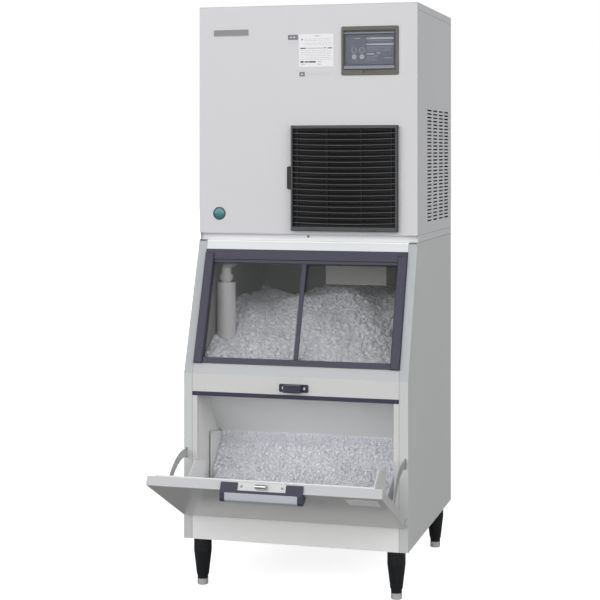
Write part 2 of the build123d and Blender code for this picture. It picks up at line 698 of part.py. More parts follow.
def ice_heap():
    """Ice in the bin as a closed faceted heap, clear of the guards and the drain sleeve."""
    limit = CAVITY_HALF - ICE_GAP
    columns = [limit * k / ICE_COLUMNS for k in range(-ICE_COLUMNS, ICE_COLUMNS + 1)]
    rings = [[(x, y, z) for y, z in ice_column(x)] for x in columns]
    faces = []
    for left, right in zip(rings, rings[1:]):
        for k in range(len(left)):
            j = (k + 1) % len(left)
            faces.append(Face(Wire.make_polygon([left[k], right[k], right[j]])))
            faces.append(Face(Wire.make_polygon([left[k], right[j], left[j]])))
    faces.append(Face(Wire.make_polygon(rings[0])))
    faces.append(Face(Wire.make_polygon(rings[-1])))
    heap = Solid(Shell(faces))
    guard_y = [y for y, z in GUARD_OUTLINE]
    guard_z = [z for y, z in GUARD_OUTLINE]
    inner = CAVITY_HALF - GUARD_OFF_WALL - GUARD_SHEET - ICE_GAP
    heap -= both(lambda side: block(*span(side, inner, CAVITY_HALF), min(guard_y) - 1,
                                    max(guard_y) + 1, min(guard_z) - 1, max(guard_z) + 1))
    reach = max(y for y, z in DOOR_GUARD_REACH) + 3
    sweep_in = DOOR_GUARD_X - GUARD_SHEET - 1.5
    heap -= both(lambda side: block(*span(side, sweep_in, CAVITY_HALF), CAVITY_FRONT - 1, reach,
                                    DOOR_GUARD_LOW - 4, DOOR_GUARD_TOP + 20))
    return heap - rod_z(SLEEVE_RADIUS + ICE_GAP, SLEEVE_X, SLEEVE_Y, SLEEVE_LOW - ICE_GAP,
                        SLEEVE_TOP)


# Door
def door_panel():
    """Folded outer pan with its hinge pins and the hole for the latch bolt."""
    pan = block(-DOOR_HALF, DOOR_HALF, DOOR_OUTER, DOOR_INNER, DOOR_LOW, DOOR_HIGH)
    pan = fillet(pan.edges().group_by(Axis.Y)[0], 2)
    inside = block(-DOOR_HALF + SHEET, DOOR_HALF - SHEET, DOOR_OUTER + SHEET, DOOR_INNER + 1,
                   DOOR_LOW + SHEET, DOOR_HIGH - SHEET)
    pins = both(lambda side: rod_x(HINGE_PIN, *span(side, DOOR_HALF - SHEET, DOOR_HALF + 3.5),
                                   HINGE_Y, HINGE_Z))
    return pan - inside + pins - bolt_hole()


def bolt_hole():
    """The way through the door's top edge for the latch bolt."""
    reach = BOLT_RADIUS + BOLT_CLEAR
    return block(-BOLT_HALF - BOLT_CLEAR, BOLT_HALF + BOLT_CLEAR, BOLT_Y - reach, BOLT_Y + reach,
                 BOLT_TOP - BOLT_LENGTH - BOLT_TRAVEL - 1, DOOR_HIGH + HANDLE_TOP + 1)


def door_liner():
    """Foam and moulded inner face of the door, with a raised rim round a shallow dish."""
    core = block(-DOOR_HALF + SHEET, DOOR_HALF - SHEET, DOOR_OUTER + SHEET, DOOR_INNER,
                 DOOR_LOW + SHEET, DOOR_HIGH - SHEET)
    edge = DOOR_HALF - LINER_INSET
    rim = block(-edge, edge, DOOR_INNER, DOOR_INNER + LINER_RIM, OPENING_BOTTOM + 6,
                DOOR_HIGH - LINER_INSET / 2)
    rim = fillet(rim.edges().filter_by(Axis.Y), 8)
    dish_edge = edge - 12
    dish = block(-dish_edge, dish_edge, DOOR_INNER + LINER_RIM - DISH, DOOR_INNER + LINER_RIM + 1,
                 OPENING_BOTTOM + 18, DOOR_HIGH - LINER_INSET / 2 - 12)
    dish = fillet(dish.edges().filter_by(Axis.Y), 14)
    pins = both(lambda side: rod_x(HINGE_PIN + 1, *span(side, DOOR_HALF - 3, DOOR_HALF),
                                   HINGE_Y, HINGE_Z))
    return core + rim - dish - bolt_hole() - pins


def door_guard(side):
    """Side plate of the door, which keeps ice from spilling past it."""
    root = DOOR_INNER + LINER_RIM - DISH
    outline = [(root, DOOR_GUARD_TOP), *DOOR_GUARD_REACH, (root, DOOR_GUARD_LOW)]
    return prism_x(outline, *span(side, DOOR_GUARD_X - GUARD_SHEET, DOOR_GUARD_X))


def door_stay(side):
    """Flat steel arc about the hinge line, with a stop hole in its tail."""
    inner = STAY_RADIUS - STAY_WIDTH / 2
    outer = STAY_RADIUS + STAY_WIDTH / 2
    x0, x1 = span(side, STAY_X - STAY_THICK / 2, STAY_X + STAY_THICK / 2)
    arc = sector(inner, outer, STAY_TAIL, 95, x0, x1, HINGE_Y, HINGE_Z)
    arc -= block(x0 - 1, x1 + 1, HINGE_Y - 60, DOOR_INNER, HINGE_Z, HINGE_Z + outer + 20)
    tail = radians(STAY_TAIL + 4)
    return arc - rod_x(2.5, x0 - 1, x1 + 1, HINGE_Y + STAY_RADIUS * cos(tail),
                       HINGE_Z + STAY_RADIUS * sin(tail))


HANDLE_FACE = DOOR_OUTER - HANDLE_FRONT
BOLT_Y = (DOOR_INNER + DOOR_OUTER) / 2 - 3
BOLT_TOP = STRIKE_LOW + 1 - 0.5
CAP_OUTLINE = [(HANDLE_FACE, DOOR_HIGH + HANDLE_TOP),
               (HANDLE_FACE - GRIP_REACH + 2, DOOR_HIGH - 2),
               (HANDLE_FACE - GRIP_REACH, DOOR_HIGH - 16),
               (HANDLE_FACE, DOOR_HIGH - HANDLE_DROP)]


def handle_bracket():
    """Dark carrier that wraps the door's top edge, with a horn at each end of the grip."""
    front = block(-HANDLE_HALF, HANDLE_HALF, HANDLE_FACE, DOOR_OUTER, DOOR_HIGH - HANDLE_DROP,
                  DOOR_HIGH + HANDLE_TOP)
    lugs = both(lambda side: block(*span(side, HANDLE_HALF - HANDLE_LUG, HANDLE_HALF), DOOR_OUTER,
                                   DOOR_INNER - 6, DOOR_HIGH, DOOR_HIGH + HANDLE_TOP))
    return front + lugs + both(handle_horn)


def handle_horn(side):
    """End cheek of the grip, rounded towards its nose."""
    horn = prism_x(CAP_OUTLINE, *span(side, HANDLE_HALF - CAP_WIDTH, HANDLE_HALF))
    nose = horn.edges().filter_by(Axis.X).sort_by(Axis.Y)[:2]
    return fillet(nose, HORN_ROUND)


def handle_grip():
    """Curved pull between the horns: a sloping top and a turned-down lip."""
    half = HANDLE_HALF - CAP_WIDTH - SEAM
    outer = [CAP_OUTLINE[0], CAP_OUTLINE[1], CAP_OUTLINE[2]]
    wall = GRIP_WALL
    inner = [(outer[2][0] + wall, outer[2][1]), (outer[1][0] + wall, outer[1][1] - wall),
             (outer[0][0], outer[0][1] - wall - 1)]
    section = make_face(Polyline(*outer, *inner, close=True))
    for (y, z), radius in ((outer[1], HORN_ROUND), (inner[1], HORN_ROUND - wall)):
        bend = section.vertices().sort_by_distance((y, z, 0))[0]
        section = fillet(bend, radius)
    return Pos(-half, 0, 0) * extrude(Plane.YZ * section, amount=2 * half)


def latch_plate():
    """Flat steel plate let into the handle bracket, round the latch bolt."""
    low = DOOR_HIGH
    plate = block(-PLATE_HALF, PLATE_HALF, DOOR_OUTER, DOOR_INNER - 4, low, low + PLATE_THICK)
    for side in (-1, 1):
        plate -= rod_z(2.2, side * (PLATE_HALF - 11), BOLT_Y + 2, low - 1, low + PLATE_THICK + 1)
    return plate - bolt_hole()


def latch_bolt():
    """Bar with a round nose, sprung upwards, that snaps into the strike."""
    centre = BOLT_TOP - BOLT_RADIUS
    bar = block(-BOLT_HALF, BOLT_HALF, BOLT_Y - BOLT_RADIUS, BOLT_Y + BOLT_RADIUS,
                BOLT_TOP - BOLT_LENGTH, centre)
    return bar + rod_x(BOLT_RADIUS, -BOLT_HALF, BOLT_HALF, BOLT_Y, centre)


# Head casing
def head_base():
    """Tray under the machinery, with a set-back front flange and the chute's hole."""
    floor = block(-INSIDE, INSIDE, RECESS, REAR_IN, BIN_TOP, BIN_TOP + SHEET)
    flange = block(-INSIDE, INSIDE, RECESS, RECESS + SHEET, BIN_TOP, FRONT_LOW)
    hole = block(CHUTE_LEFT - 1, CHUTE_RIGHT + 1, CHUTE_FRONT - 1, CHUTE_BACK + 1, BIN_TOP - 1,
                 BIN_TOP + SHEET + 1)
    return floor + flange - hole


def head_side(side, slotted):
    """Side sheet of the head on an inward foot."""
    low = BIN_TOP + SHEET
    high = TOTAL_HEIGHT - COVER_SKIRT
    y0 = RETURN + 1
    width, height = HEAD_DEPTH - y0, high - low
    mid_y, mid_z = (HEAD_DEPTH + y0) / 2, (high + low) / 2
    slots = []
    if slotted:
        slots = [(y - mid_y, SLOT_TOP - row * SLOT_PITCH - mid_z)
                 for y in SLOT_COLUMNS for row in range(SLOT_ROWS)]
    face = Plane.YZ * slotted_sheet(width, height, slots)
    x0, x1 = span(side, INSIDE, HALF)
    sheet = Pos(x0, mid_y, mid_z) * extrude(face, amount=x1 - x0, dir=(1, 0, 0))
    foot = block(*span(side, INSIDE - 12, HALF), RECESS + 2 * SHEET, REAR_IN - SEAM, low,
                 low + SHEET)
    return sheet + foot


def head_rear():
    """Rear sheet with vent slots and the holes for the fittings."""
    low = BIN_TOP + SHEET
    high = TOTAL_HEIGHT - COVER_SKIRT
    mid = (high + low) / 2
    slots = [(x, SLOT_TOP - row * SLOT_PITCH * 2 - mid)
             for x in REAR_SLOT_COLUMNS for row in range(REAR_SLOT_ROWS)]
    face = Plane.XZ * slotted_sheet(2 * INSIDE, high - low, slots)
    sheet = Pos(0, REAR_IN, mid) * extrude(face, amount=SHEET, dir=(0, 1, 0))
    for x, z, radius in REAR_FITTINGS:
        sheet -= rod_y(radius + 4, x, REAR_IN - 5, HEAD_DEPTH + 5, z)
    return sheet


def head_top():
    """Shallow cap over the head."""
    low = TOTAL_HEIGHT - COVER_SKIRT
    y0 = RETURN + 1
    cap = block(-HALF, HALF, y0, HEAD_DEPTH, low, TOTAL_HEIGHT)
    inside = block(-INSIDE, INSIDE, y0 - 1, REAR_IN, low - 1, TOTAL_HEIGHT - SHEET)
    return cap - inside


def head_front():
    """Front sheet with returns on every side and the openings for the grille and controls."""
    pan = block(-HALF, HALF, 0, RETURN, FRONT_LOW, TOTAL_HEIGHT)
    pan = fillet(pan.edges().group_by(Axis.Y)[0], EDGE_ROUND)
    pan -= block(-INSIDE, INSIDE, SHEET, RETURN + 1, FRONT_LOW + SHEET, TOTAL_HEIGHT - SHEET)
    foot = block(-INSIDE, INSIDE, 0, RECESS, FRONT_LOW, FRONT_LOW + SHEET)
    air = block(GRILLE_LEFT + GRILLE_SIDE_BAR + 4, GRILLE_LEFT + GRILLE_WIDTH - GRILLE_SIDE_BAR - 4,
                -1, 5, GRILLE_LOW + GRILLE_BOTTOM_BAR + 4,
                GRILLE_LOW + GRILLE_HEIGHT - GRILLE_TOP_BAR - 4)
    controls = block(BEZEL_LEFT + 6, BEZEL_RIGHT - 6, -1, 5, BEZEL_LOW + 6, BEZEL_HIGH - 6)
    return pan + foot - air - controls


def control_bezel():
    """Moulded frame of the control window, with a finger notch below the cover."""
    face = block(BEZEL_LEFT, BEZEL_RIGHT, -BEZEL_PROUD, 0, BEZEL_LOW, BEZEL_HIGH)
    face = fillet(face.edges().filter_by(Axis.Y), 5)
    face = chamfer(face.edges().group_by(Axis.Y)[0], 1)
    body = block(BEZEL_LEFT + 6.5, BEZEL_RIGHT - 6.5, 0, BEZEL_BODY - BEZEL_PROUD,
                 BEZEL_LOW + 6.5, BEZEL_HIGH - 6.5)
    pocket = block(COVER_LEFT - COVER_GAP, COVER_RIGHT + COVER_GAP, -BEZEL_PROUD - 1,
                   BEZEL_BODY - BEZEL_PROUD - 2, COVER_LOW - COVER_GAP, COVER_HIGH + COVER_GAP)
    notch = block(NOTCH_LEFT, NOTCH_LEFT + NOTCH_WIDTH, -BEZEL_PROUD - 1, 1,
                  COVER_LOW - NOTCH_DEPTH, COVER_LOW)
    notch = fillet(notch.edges().filter_by(Axis.Y), 3)
    pins = rod_x(COVER_PIN + RUNNING, COVER_LEFT - 4, COVER_RIGHT + 4, COVER_Y, COVER_Z)
    return face + body - pocket - notch - pins


COVER_Y = -BEZEL_PROUD + 1.25
COVER_Z = COVER_HIGH - COVER_BARREL - 0.5


def control_cover():
    """Clear flap hung on a barrel along its top edge."""
    flap = block(COVER_LEFT, COVER_RIGHT, COVER_Y - COVER_THICK / 2, COVER_Y + COVER_THICK / 2,
                 COVER_LOW, COVER_Z)
    flap = fillet(flap.edges().filter_by(Axis.Y).group_by(Axis.Z)[0], 6)
    barrel = rod_x(COVER_BARREL, COVER_LEFT, COVER_RIGHT, COVER_Y, COVER_Z)
    pin = rod_x(COVER_PIN, COVER_LEFT - 3, COVER_RIGHT + 3, COVER_Y, COVER_Z)
    return flap + barrel + pin


KEYPAD_FRONT = BEZEL_BODY - BEZEL_PROUD - 2 - KEYPAD_THICK


def keypad_plate():
    """Plate behind the cover, with a hole for each key."""
    plate = block(COVER_LEFT + 4, COVER_RIGHT - 4, KEYPAD_FRONT, KEYPAD_FRONT + KEYPAD_THICK,
                  COVER_LOW + 15, COVER_HIGH - 11)
    for row, radius in enumerate(KEY_RADIUS):
        for x in KEY_X:
            plate -= rod_y(radius + SEAM, x, KEYPAD_FRONT - 1, KEYPAD_FRONT + KEYPAD_THICK + 1,
                           KEY_Z[row])
    return plate


def control_key(x, row):
    """Round key that stands proud of the plate by its travel."""
    radius = KEY_RADIUS[row]
    cap = rod_y(radius, x, KEYPAD_FRONT - KEY_TRAVEL, KEYPAD_FRONT + KEYPAD_THICK - KEY_TRAVEL - SEAM,
                KEY_Z[row])
    return fillet(cap.edges().group_by(Axis.Y)[0], 0.6)


# Louvre grille and its filter
def louvre_blade(z):
    """One slat, sloping down to a front edge that bulges towards its middle."""
    back, front = -FILTER_BACK - FILTER_THICK - 1.2, -GRILLE_PROUD + 1
    drop = 11.0
    slab = prism_x([(back, z + drop / 2), (back, z + drop / 2 - BLADE_THICK),
                    (front - BLADE_BULGE, z - drop / 2 - 4), (front - BLADE_BULGE, z - drop / 2 - 4
                                                              + BLADE_THICK)],
                   GRILLE_LEFT + 1, GRILLE_LEFT + GRILLE_WIDTH - 1)
    x0, x1 = GRILLE_LEFT + 1, GRILLE_LEFT + GRILLE_WIDTH - 1
    middle = (x0 + x1) / 2
    plan = [Line((x0, back), (x1, back)), Line((x1, back), (x1, front + BLADE_BULGE)),
            ThreePointArc((x1, front + BLADE_BULGE), (middle, front), (x0, front + BLADE_BULGE)),
            Line((x0, front + BLADE_BULGE), (x0, back))]
    return slab & (Pos(0, 0, z - 20) * extrude(make_face(plan), amount=40))


def louvre_grille():
    """Moulded grille: a frame, sloping slats and upright spacers, open at the left for the filter."""
    x0, x1 = GRILLE_LEFT, GRILLE_LEFT + GRILLE_WIDTH
    z0, z1 = GRILLE_LOW, GRILLE_LOW + GRILLE_HEIGHT
    frame = block(x0, x1, -GRILLE_PROUD, 0, z0, z1)
    frame = fillet(frame.edges().group_by(Axis.Y)[0], 2)
    in0, in1 = x0 + GRILLE_SIDE_BAR, x1 - GRILLE_SIDE_BAR
    low, high = z0 + GRILLE_BOTTOM_BAR, z1 - GRILLE_TOP_BAR
    frame -= block(in0, in1, -GRILLE_PROUD - 1, 1, low, high)
    for x in (x0 + 72, x1 - 72):
        frame -= block(x - 9, x + 9, -GRILLE_PROUD - 1, -GRILLE_PROUD + 2, z0 + 3, z0 + 7)
    slat = louvre_blade(0)
    first = low + (high - low - (BLADE_COUNT - 1) * BLADE_PITCH) / 2
    slats = [Pos(0, 0, first + k * BLADE_PITCH) * slat for k in range(BLADE_COUNT)]
    inside = block(in0 - 0.5, in1 + 0.5, -GRILLE_PROUD - 5, 0, low - 0.5, high + 0.5)
    back = -FILTER_BACK - FILTER_THICK - 1.2
    ribs = [block(x - 1, x + 1, -GRILLE_PROUD + 5, back, low - 0.5, high + 0.5)
            for x in (in0 + 14, in0 + (in1 - in0) / 3, in0 + (in1 - in0) * 2 / 3, in1 - 14)]
    body = frame + [slat & inside for slat in slats] + ribs
    slot = block(x0 - 1, in0 + 1, -FILTER_BACK - FILTER_THICK - 0.6, 1, low, high)
    return body - slot


def air_filter():
    """Framed mesh behind the slats, which pulls out to the left by its tab."""
    x0 = GRILLE_LEFT
    x1 = GRILLE_LEFT + GRILLE_WIDTH - GRILLE_SIDE_BAR - SEAM
    low = GRILLE_LOW + GRILLE_BOTTOM_BAR + SEAM
    high = GRILLE_LOW + GRILLE_HEIGHT - GRILLE_TOP_BAR - SEAM
    y0, y1 = -FILTER_BACK - FILTER_THICK, -FILTER_BACK
    frame = block(x0, x1, y0, y1, low, high)
    frame -= block(x0 + FILTER_RIM, x1 - FILTER_RIM, y0 - 1, y1 + 1, low + FILTER_RIM,
                   high - FILTER_RIM)
    middle = (y0 + y1) / 2
    frame += block(x0 + 1, x1 - 1, middle - FILTER_MESH / 2, middle + FILTER_MESH / 2, low + 1,
                   high - 1)
    for k in range(1, 4):
        z = low + (high - low) * k / 4
        frame += block(x0 + 1, x1 - 1, y0, middle, z - 2, z + 2)
    tab = block(x0 - TAB_WIDTH, x0 + 1, y0, y1, TAB_LOW, TAB_HIGH)
    tab = fillet(tab.edges().filter_by(Axis.Y).group_by(Axis.X)[0], 5)
    return frame + tab


# Machinery in the head
AIR_MID_X = GRILLE_LEFT + GRILLE_WIDTH / 2
AIR_MID_Z = GRILLE_LOW + GRILLE_HEIGHT / 2
TRAY_TOP = BIN_TOP + SHEET
CONDENSER_BACK = CONDENSER_FRONT + CONDENSER_DEPTH
SHROUD_BACK = CONDENSER_BACK + SHROUD_DEPTH
CONDENSER_HALF_X = GRILLE_WIDTH / 2 - CONDENSER_INSET
CONDENSER_HALF_Z = GRILLE_HEIGHT / 2 - CONDENSER_INSET + 2


def condenser():
    """Finned block between two end plates that stand on the tray."""
    half_x, half_z = CONDENSER_HALF_X, CONDENSER_HALF_Z
    low, high = AIR_MID_Z - half_z, AIR_MID_Z + half_z
    body = block(AIR_MID_X - half_x, AIR_MID_X + half_x, CONDENSER_FRONT + 3, CONDENSER_BACK - 3,
                 low, high)
    for k in range(14):
        x = AIR_MID_X - half_x + (k + 0.75) * 2 * half_x / 14.5
        body -= block(x - 4, x + 4, CONDENSER_FRONT, CONDENSER_FRONT + 8, low + 6, high - 6)
    for side in (-1, 1):
        x0, x1 = sorted((AIR_MID_X + side * half_x, AIR_MID_X + side * (half_x + END_PLATE)))
        body += block(x0, x1, CONDENSER_FRONT, CONDENSER_BACK, TRAY_TOP, high)
    return body


def fan_shroud():
    """Plate with a round throat behind the condenser, and the motor on three arms."""
    half_x, half_z = CONDENSER_HALF_X, CONDENSER_HALF_Z
    throat = FAN_RADIUS + FAN_CLEAR
    plate = block(AIR_MID_X - half_x, AIR_MID_X + half_x, CONDENSER_BACK, CONDENSER_BACK + 2,
                  TRAY_TOP, AIR_MID_Z + half_z)
    plate -= rod_y(throat, AIR_MID_X, CONDENSER_BACK - 1, CONDENSER_BACK + 3, AIR_MID_Z)
    ring = rod_y(throat + 3, AIR_MID_X, CONDENSER_BACK, SHROUD_BACK, AIR_MID_Z)
    ring -= rod_y(throat, AIR_MID_X, CONDENSER_BACK - 1, SHROUD_BACK + 1, AIR_MID_Z)
    motor = rod_y(MOTOR_RADIUS, AIR_MID_X, SHROUD_BACK - 4, SHROUD_BACK - 4 + MOTOR_LENGTH, AIR_MID_Z)
    arms = []
    for k in range(3):
        arm = block(MOTOR_RADIUS - 4, throat + 2, -3, 3, -8, 8)
        arms.append(Pos(AIR_MID_X, SHROUD_BACK - 3, AIR_MID_Z) * Rot(0, 90 + k * 120, 0) * arm)
    bore = rod_y(FAN_SHAFT + RUNNING, AIR_MID_X, SHROUD_BACK - 6, SHROUD_BACK + 20, AIR_MID_Z)
    return plate + ring + motor + arms - bore


FAN_SHAFT = 4.0


def fan_blades():
    """Axial fan: hub, pitched blades and the shaft that runs in the motor."""
    y = CONDENSER_BACK + 26
    hub = Pos(AIR_MID_X, y, AIR_MID_Z) * Rot(90, 0, 0) * Cylinder(FAN_HUB, 34)
    shaft = rod_y(FAN_SHAFT, AIR_MID_X, y, SHROUD_BACK + 18, AIR_MID_Z)
    limit = rod_y(FAN_RADIUS, AIR_MID_X, y - 24, y + 24, AIR_MID_Z)
    wing = block(FAN_HUB - 4, FAN_RADIUS + 8, -1, 1, -38, 38)
    wing = fillet(wing.edges().filter_by(Axis.Y).group_by(Axis.X)[-1], 24)
    wings = []
    for k in range(FAN_BLADES):
        turned = Rot(0, k * 360 / FAN_BLADES, 0) * Rot(FAN_PITCH, 0, 0) * wing
        wings.append((Pos(AIR_MID_X, y, AIR_MID_Z) * turned) & limit)
    return hub + wings + shaft


def tube(points, radius, bend):
    """A round pipe along straight runs joined by arcs."""
    path = FilletPolyline(*points, radius=bend)
    start = Plane(origin=path @ 0, z_dir=path % 0)
    return sweep(start * Circle(radius), path=path)


def compressor():
    """Domed steel can on a foot plate, with its pipes brazed on."""
    r, h = COMPRESSOR_RADIUS, COMPRESSOR_HEIGHT
    base = TRAY_TOP + 22
    can = rod_z(r, COMPRESSOR_X, COMPRESSOR_Y, base, base + h)
    can = fillet(can.edges().group_by(Axis.Z)[-1], r * 0.45)
    can = fillet(can.edges().group_by(Axis.Z)[0], r * 0.2)
    plate = block(COMPRESSOR_X - r, COMPRESSOR_X + r, COMPRESSOR_Y - r, COMPRESSOR_Y + r, base - 3,
                  base + 1)
    feet = [rod_z(9, COMPRESSOR_X + sx * (r - 12), COMPRESSOR_Y + sy * (r - 12), TRAY_TOP, base - 2)
            for sx in (-1, 1) for sy in (-1, 1)]
    side_x = AIR_MID_X + CONDENSER_HALF_X + END_PLATE + 0.2
    up_x, out_x = COMPRESSOR_X + 20, COMPRESSOR_X + DISCHARGE_OFF
    back_x, entry_y = COMPRESSOR_X - 30, CONDENSER_BACK - 20
    top, over, cross = base + h, base + h + DISCHARGE_RISE, base + h + SUCTION_RISE
    discharge = tube([(up_x, COMPRESSOR_Y, top - 12), (up_x, COMPRESSOR_Y, over),
                      (out_x, COMPRESSOR_Y, over), (out_x, entry_y, over),
                      (side_x, entry_y, over)], PIPE_RADIUS, PIPE_BEND)
    suction = tube([(back_x, COMPRESSOR_Y, top - 14), (back_x, COMPRESSOR_Y, cross),
                    (BARREL_X, COMPRESSOR_Y, cross), (BARREL_X, BARREL_Y + BARREL_RADIUS, cross)],
                   PIPE_RADIUS, PIPE_WIDE_BEND)
    return can + plate + feet + discharge + suction


def evaporator_barrel():
    """Insulated freezing cylinder between two flanges."""
    body = rod_z(BARREL_RADIUS, BARREL_X, BARREL_Y, BARREL_LOW, BARREL_HIGH)
    for z in (BARREL_LOW, BARREL_HIGH - 10):
        body += rod_z(BARREL_RADIUS + 8, BARREL_X, BARREL_Y, z, z + 10)
    return body - rod_z(BARREL_BORE, BARREL_X, BARREL_Y, BARREL_LOW - 1, BARREL_HIGH + 1)


def auger():
    """Screw that lifts the ice, with the cutter head on top and the drive end below."""
    reach = BARREL_BORE - AUGER_CLEAR
    low, high = BARREL_LOW + 12, BARREL_HIGH - 24
    shaft = rod_z(AUGER_SHAFT, 0, 0, low, high + 4)
    drive = rod_z(DRIVE_SHAFT, 0, 0, BARREL_LOW - 60, low + 1)
    path = Helix(pitch=AUGER_PITCH, height=high - low - 14, radius=(reach + AUGER_SHAFT) / 2)
    profile = Plane(origin=path @ 0, x_dir=(1, 0, 0), z_dir=path % 0) * Rectangle(
        reach - AUGER_SHAFT + 3, 5)
    flight = Pos(0, 0, low + 7) * sweep(profile, path=path, is_frenet=True)
    limit = rod_z(reach, 0, 0, low, high)
    cutter = rod_z(reach - 4, 0, 0, high + 3, high + 14)
    for k in range(6):
        fin = block(8, reach - 4, -3, 3, high + 13, high + 46)
        cutter += Rot(0, 0, k * 60) * fin
    cutter += rod_z(14, 0, 0, high + 13, high + 50)
    return Pos(BARREL_X, BARREL_Y, 0) * (shaft + drive + (flight & limit) + cutter)


def gear_motor():
    """Reduction gearbox with its motor, on the tray under the barrel."""
    x, y = BARREL_X, BARREL_Y
    case = block(x - 70, x + 70, y - 60, y + 60, TRAY_TOP, BARREL_LOW - 40)
    case = fillet(case.edges().filter_by(Axis.Z), 14)
    neck = rod_z(38, x, y, BARREL_LOW - 41, BARREL_LOW)
    motor = rod_y(48, x, y - 190, y - 55, TRAY_TOP + 64)
    bore = rod_z(DRIVE_SHAFT + RUNNING, x, y, BARREL_LOW - 62, BARREL_LOW + 1)
    return case + neck + motor - bore


def ice_chute():
    """Closed duct from the cutter across and down through the tray into the bin."""
    left = BARREL_X - BARREL_RADIUS - 14
    outline = [(left, CHUTE_HIGH), (CHUTE_RIGHT, CHUTE_HIGH), (CHUTE_RIGHT, CHUTE_LOW),
               (CHUTE_LEFT, CHUTE_LOW), (CHUTE_LEFT, BARREL_HIGH - 40), (CHUTE_LEFT - 40, BARREL_HIGH),
               (left, BARREL_HIGH)]
    w = CHUTE_WALL
    inner = [(left + w, CHUTE_HIGH - w), (CHUTE_RIGHT - w, CHUTE_HIGH - w), (CHUTE_RIGHT - w,
             CHUTE_LOW - 1), (CHUTE_LEFT + w, CHUTE_LOW - 1), (CHUTE_LEFT + w, BARREL_HIGH - 40),
             (CHUTE_LEFT - 40, BARREL_HIGH + w), (left + w, BARREL_HIGH + w)]
    duct = prism_y(outline, CHUTE_FRONT, CHUTE_BACK)
    duct -= prism_y(inner, CHUTE_FRONT + w, CHUTE_BACK - w)
    return duct - rod_z(BARREL_BORE, BARREL_X, BARREL_Y, BARREL_HIGH - 1, BARREL_HIGH + w + 1)


def water_tank():
    """Small supply tank on the left panel, with a hole in its lid for the float's stem."""
    length, depth, height = TANK
    x0 = -INSIDE
    tank = block(x0, x0 + length, TANK_Y, TANK_Y + depth, TANK_Z, TANK_Z + height)
    w = TANK_WALL
    tank -= block(x0 + w, x0 + length - w, TANK_Y + w, TANK_Y + depth - w, TANK_Z + w,
                  TANK_Z + height - w)
    return tank - rod_z(FLOAT_STEM + RUNNING, FLOAT_X, FLOAT_Y, TANK_Z + height - w - 1,
                        TANK_Z + height + 1)


FLOAT_X = -INSIDE + TANK[0] / 2
FLOAT_Y = TANK_Y + TANK[1] / 2


def water_float():
    """Round float on a stem that slides in the tank's lid."""
    low = TANK_Z + TANK_WALL + SEAM
    body = rod_z(FLOAT_RADIUS, FLOAT_X, FLOAT_Y, low, low + FLOAT_HEIGHT)
    body = fillet(body.edges(), 5)
    return body + rod_z(FLOAT_STEM, FLOAT_X, FLOAT_Y, low + FLOAT_HEIGHT - 1,
                        TANK_Z + TANK[2] + 14)


def control_box():
    """Sheet box of the electrics behind the controls, fixed to the front sheet."""
    back = BEZEL_BODY - BEZEL_PROUD
    box = block(BEZEL_LEFT - 30, BEZEL_RIGHT + 20, SHEET, 120, BEZEL_LOW - 60, BEZEL_HIGH + 20)
    room = block(BEZEL_LEFT + 6, BEZEL_RIGHT - 6, SHEET - 1, back, BEZEL_LOW + 6, BEZEL_HIGH - 6)
    return fillet(box.edges().group_by(Axis.Y)[-1], 4) - room


REAR_FITTINGS = [(BARREL_X - 60, BIN_TOP + 60, INLET_RADIUS), (BARREL_X + 40, BIN_TOP + 60,
                                                              DRAIN_BORE + 3)]


def rear_fittings():
    """Water inlet stub and drain stub, each with a flange on the rear sheet."""
    inlet_x, inlet_z, inlet_r = REAR_FITTINGS[0]
    inlet = rod_y(inlet_r, inlet_x, REAR_IN - 20, HEAD_DEPTH - 0.2, inlet_z)
    inlet += rod_y(inlet_r + 10, inlet_x, REAR_IN - 4, REAR_IN, inlet_z)
    drain_x, drain_z, drain_r = REAR_FITTINGS[1]
    drain = rod_y(drain_r, drain_x, REAR_IN - 30, HEAD_DEPTH - 0.2, drain_z)
    drain += rod_y(drain_r + 10, drain_x, REAR_IN - 4, REAR_IN, drain_z)
    drain -= rod_y(DRAIN_BORE, drain_x, REAR_IN - 26, HEAD_DEPTH + 1, drain_z)
    return inlet + drain


# Legs and feet
LEG_PLACES = {"front_left": (-LEG_X, LEG_FRONT), "front_right": (LEG_X, LEG_FRONT),
              "rear_left": (-LEG_X, LEG_REAR), "rear_right": (LEG_X, LEG_REAR)}


def leg():
    """Turned black leg, wide at the top and drawn in to its foot, bored for the stem."""
    low = FOOT_HEIGHT + SEAM
    outline = [(0, low), (LEG_END_RADIUS, low), (LEG_END_RADIUS, low + 8),
               (LEG_WAIST_RADIUS, low + 14), (LEG_TOP_RADIUS, LEG_HEIGHT - 45),
               (LEG_TOP_RADIUS, LEG_HEIGHT), (0, LEG_HEIGHT)]
    body = revolve(Plane.XZ * make_face(Polyline(*outline, close=True)), Axis.Z)
    return body - rod_z(STEM_RADIUS + RUNNING, 0, 0, 0, FOOT_HEIGHT + STEM_LENGTH + 2)


def foot():
    """Steel levelling foot with its stem."""
    pad = chamfer(rod_z(FOOT_RADIUS, 0, 0, 0, FOOT_HEIGHT).edges().group_by(Axis.Z)[0], 2)
    return pad + rod_z(STEM_RADIUS, 0, 0, FOOT_HEIGHT - 1, FOOT_HEIGHT + STEM_LENGTH)


# Origin: the middle of the whole depth, from the open handle's furthest point to the rear
def opened_y(y, z):
    """How far forward a point of the closed door lies once the door is open."""
    turn = radians(DOOR_OPEN)
    return HINGE_Y + (y - HINGE_Y) * cos(turn) - (z - HINGE_Z) * sin(turn)


FRONT_REACH = min(*(opened_y(y, z) for y, z in CAP_OUTLINE),
                  opened_y(BOLT_Y, BOLT_TOP - BOLT_RADIUS) - BOLT_RADIUS)
SHIFT_Y = -(FRONT_REACH + HEAD_DEPTH) / 2


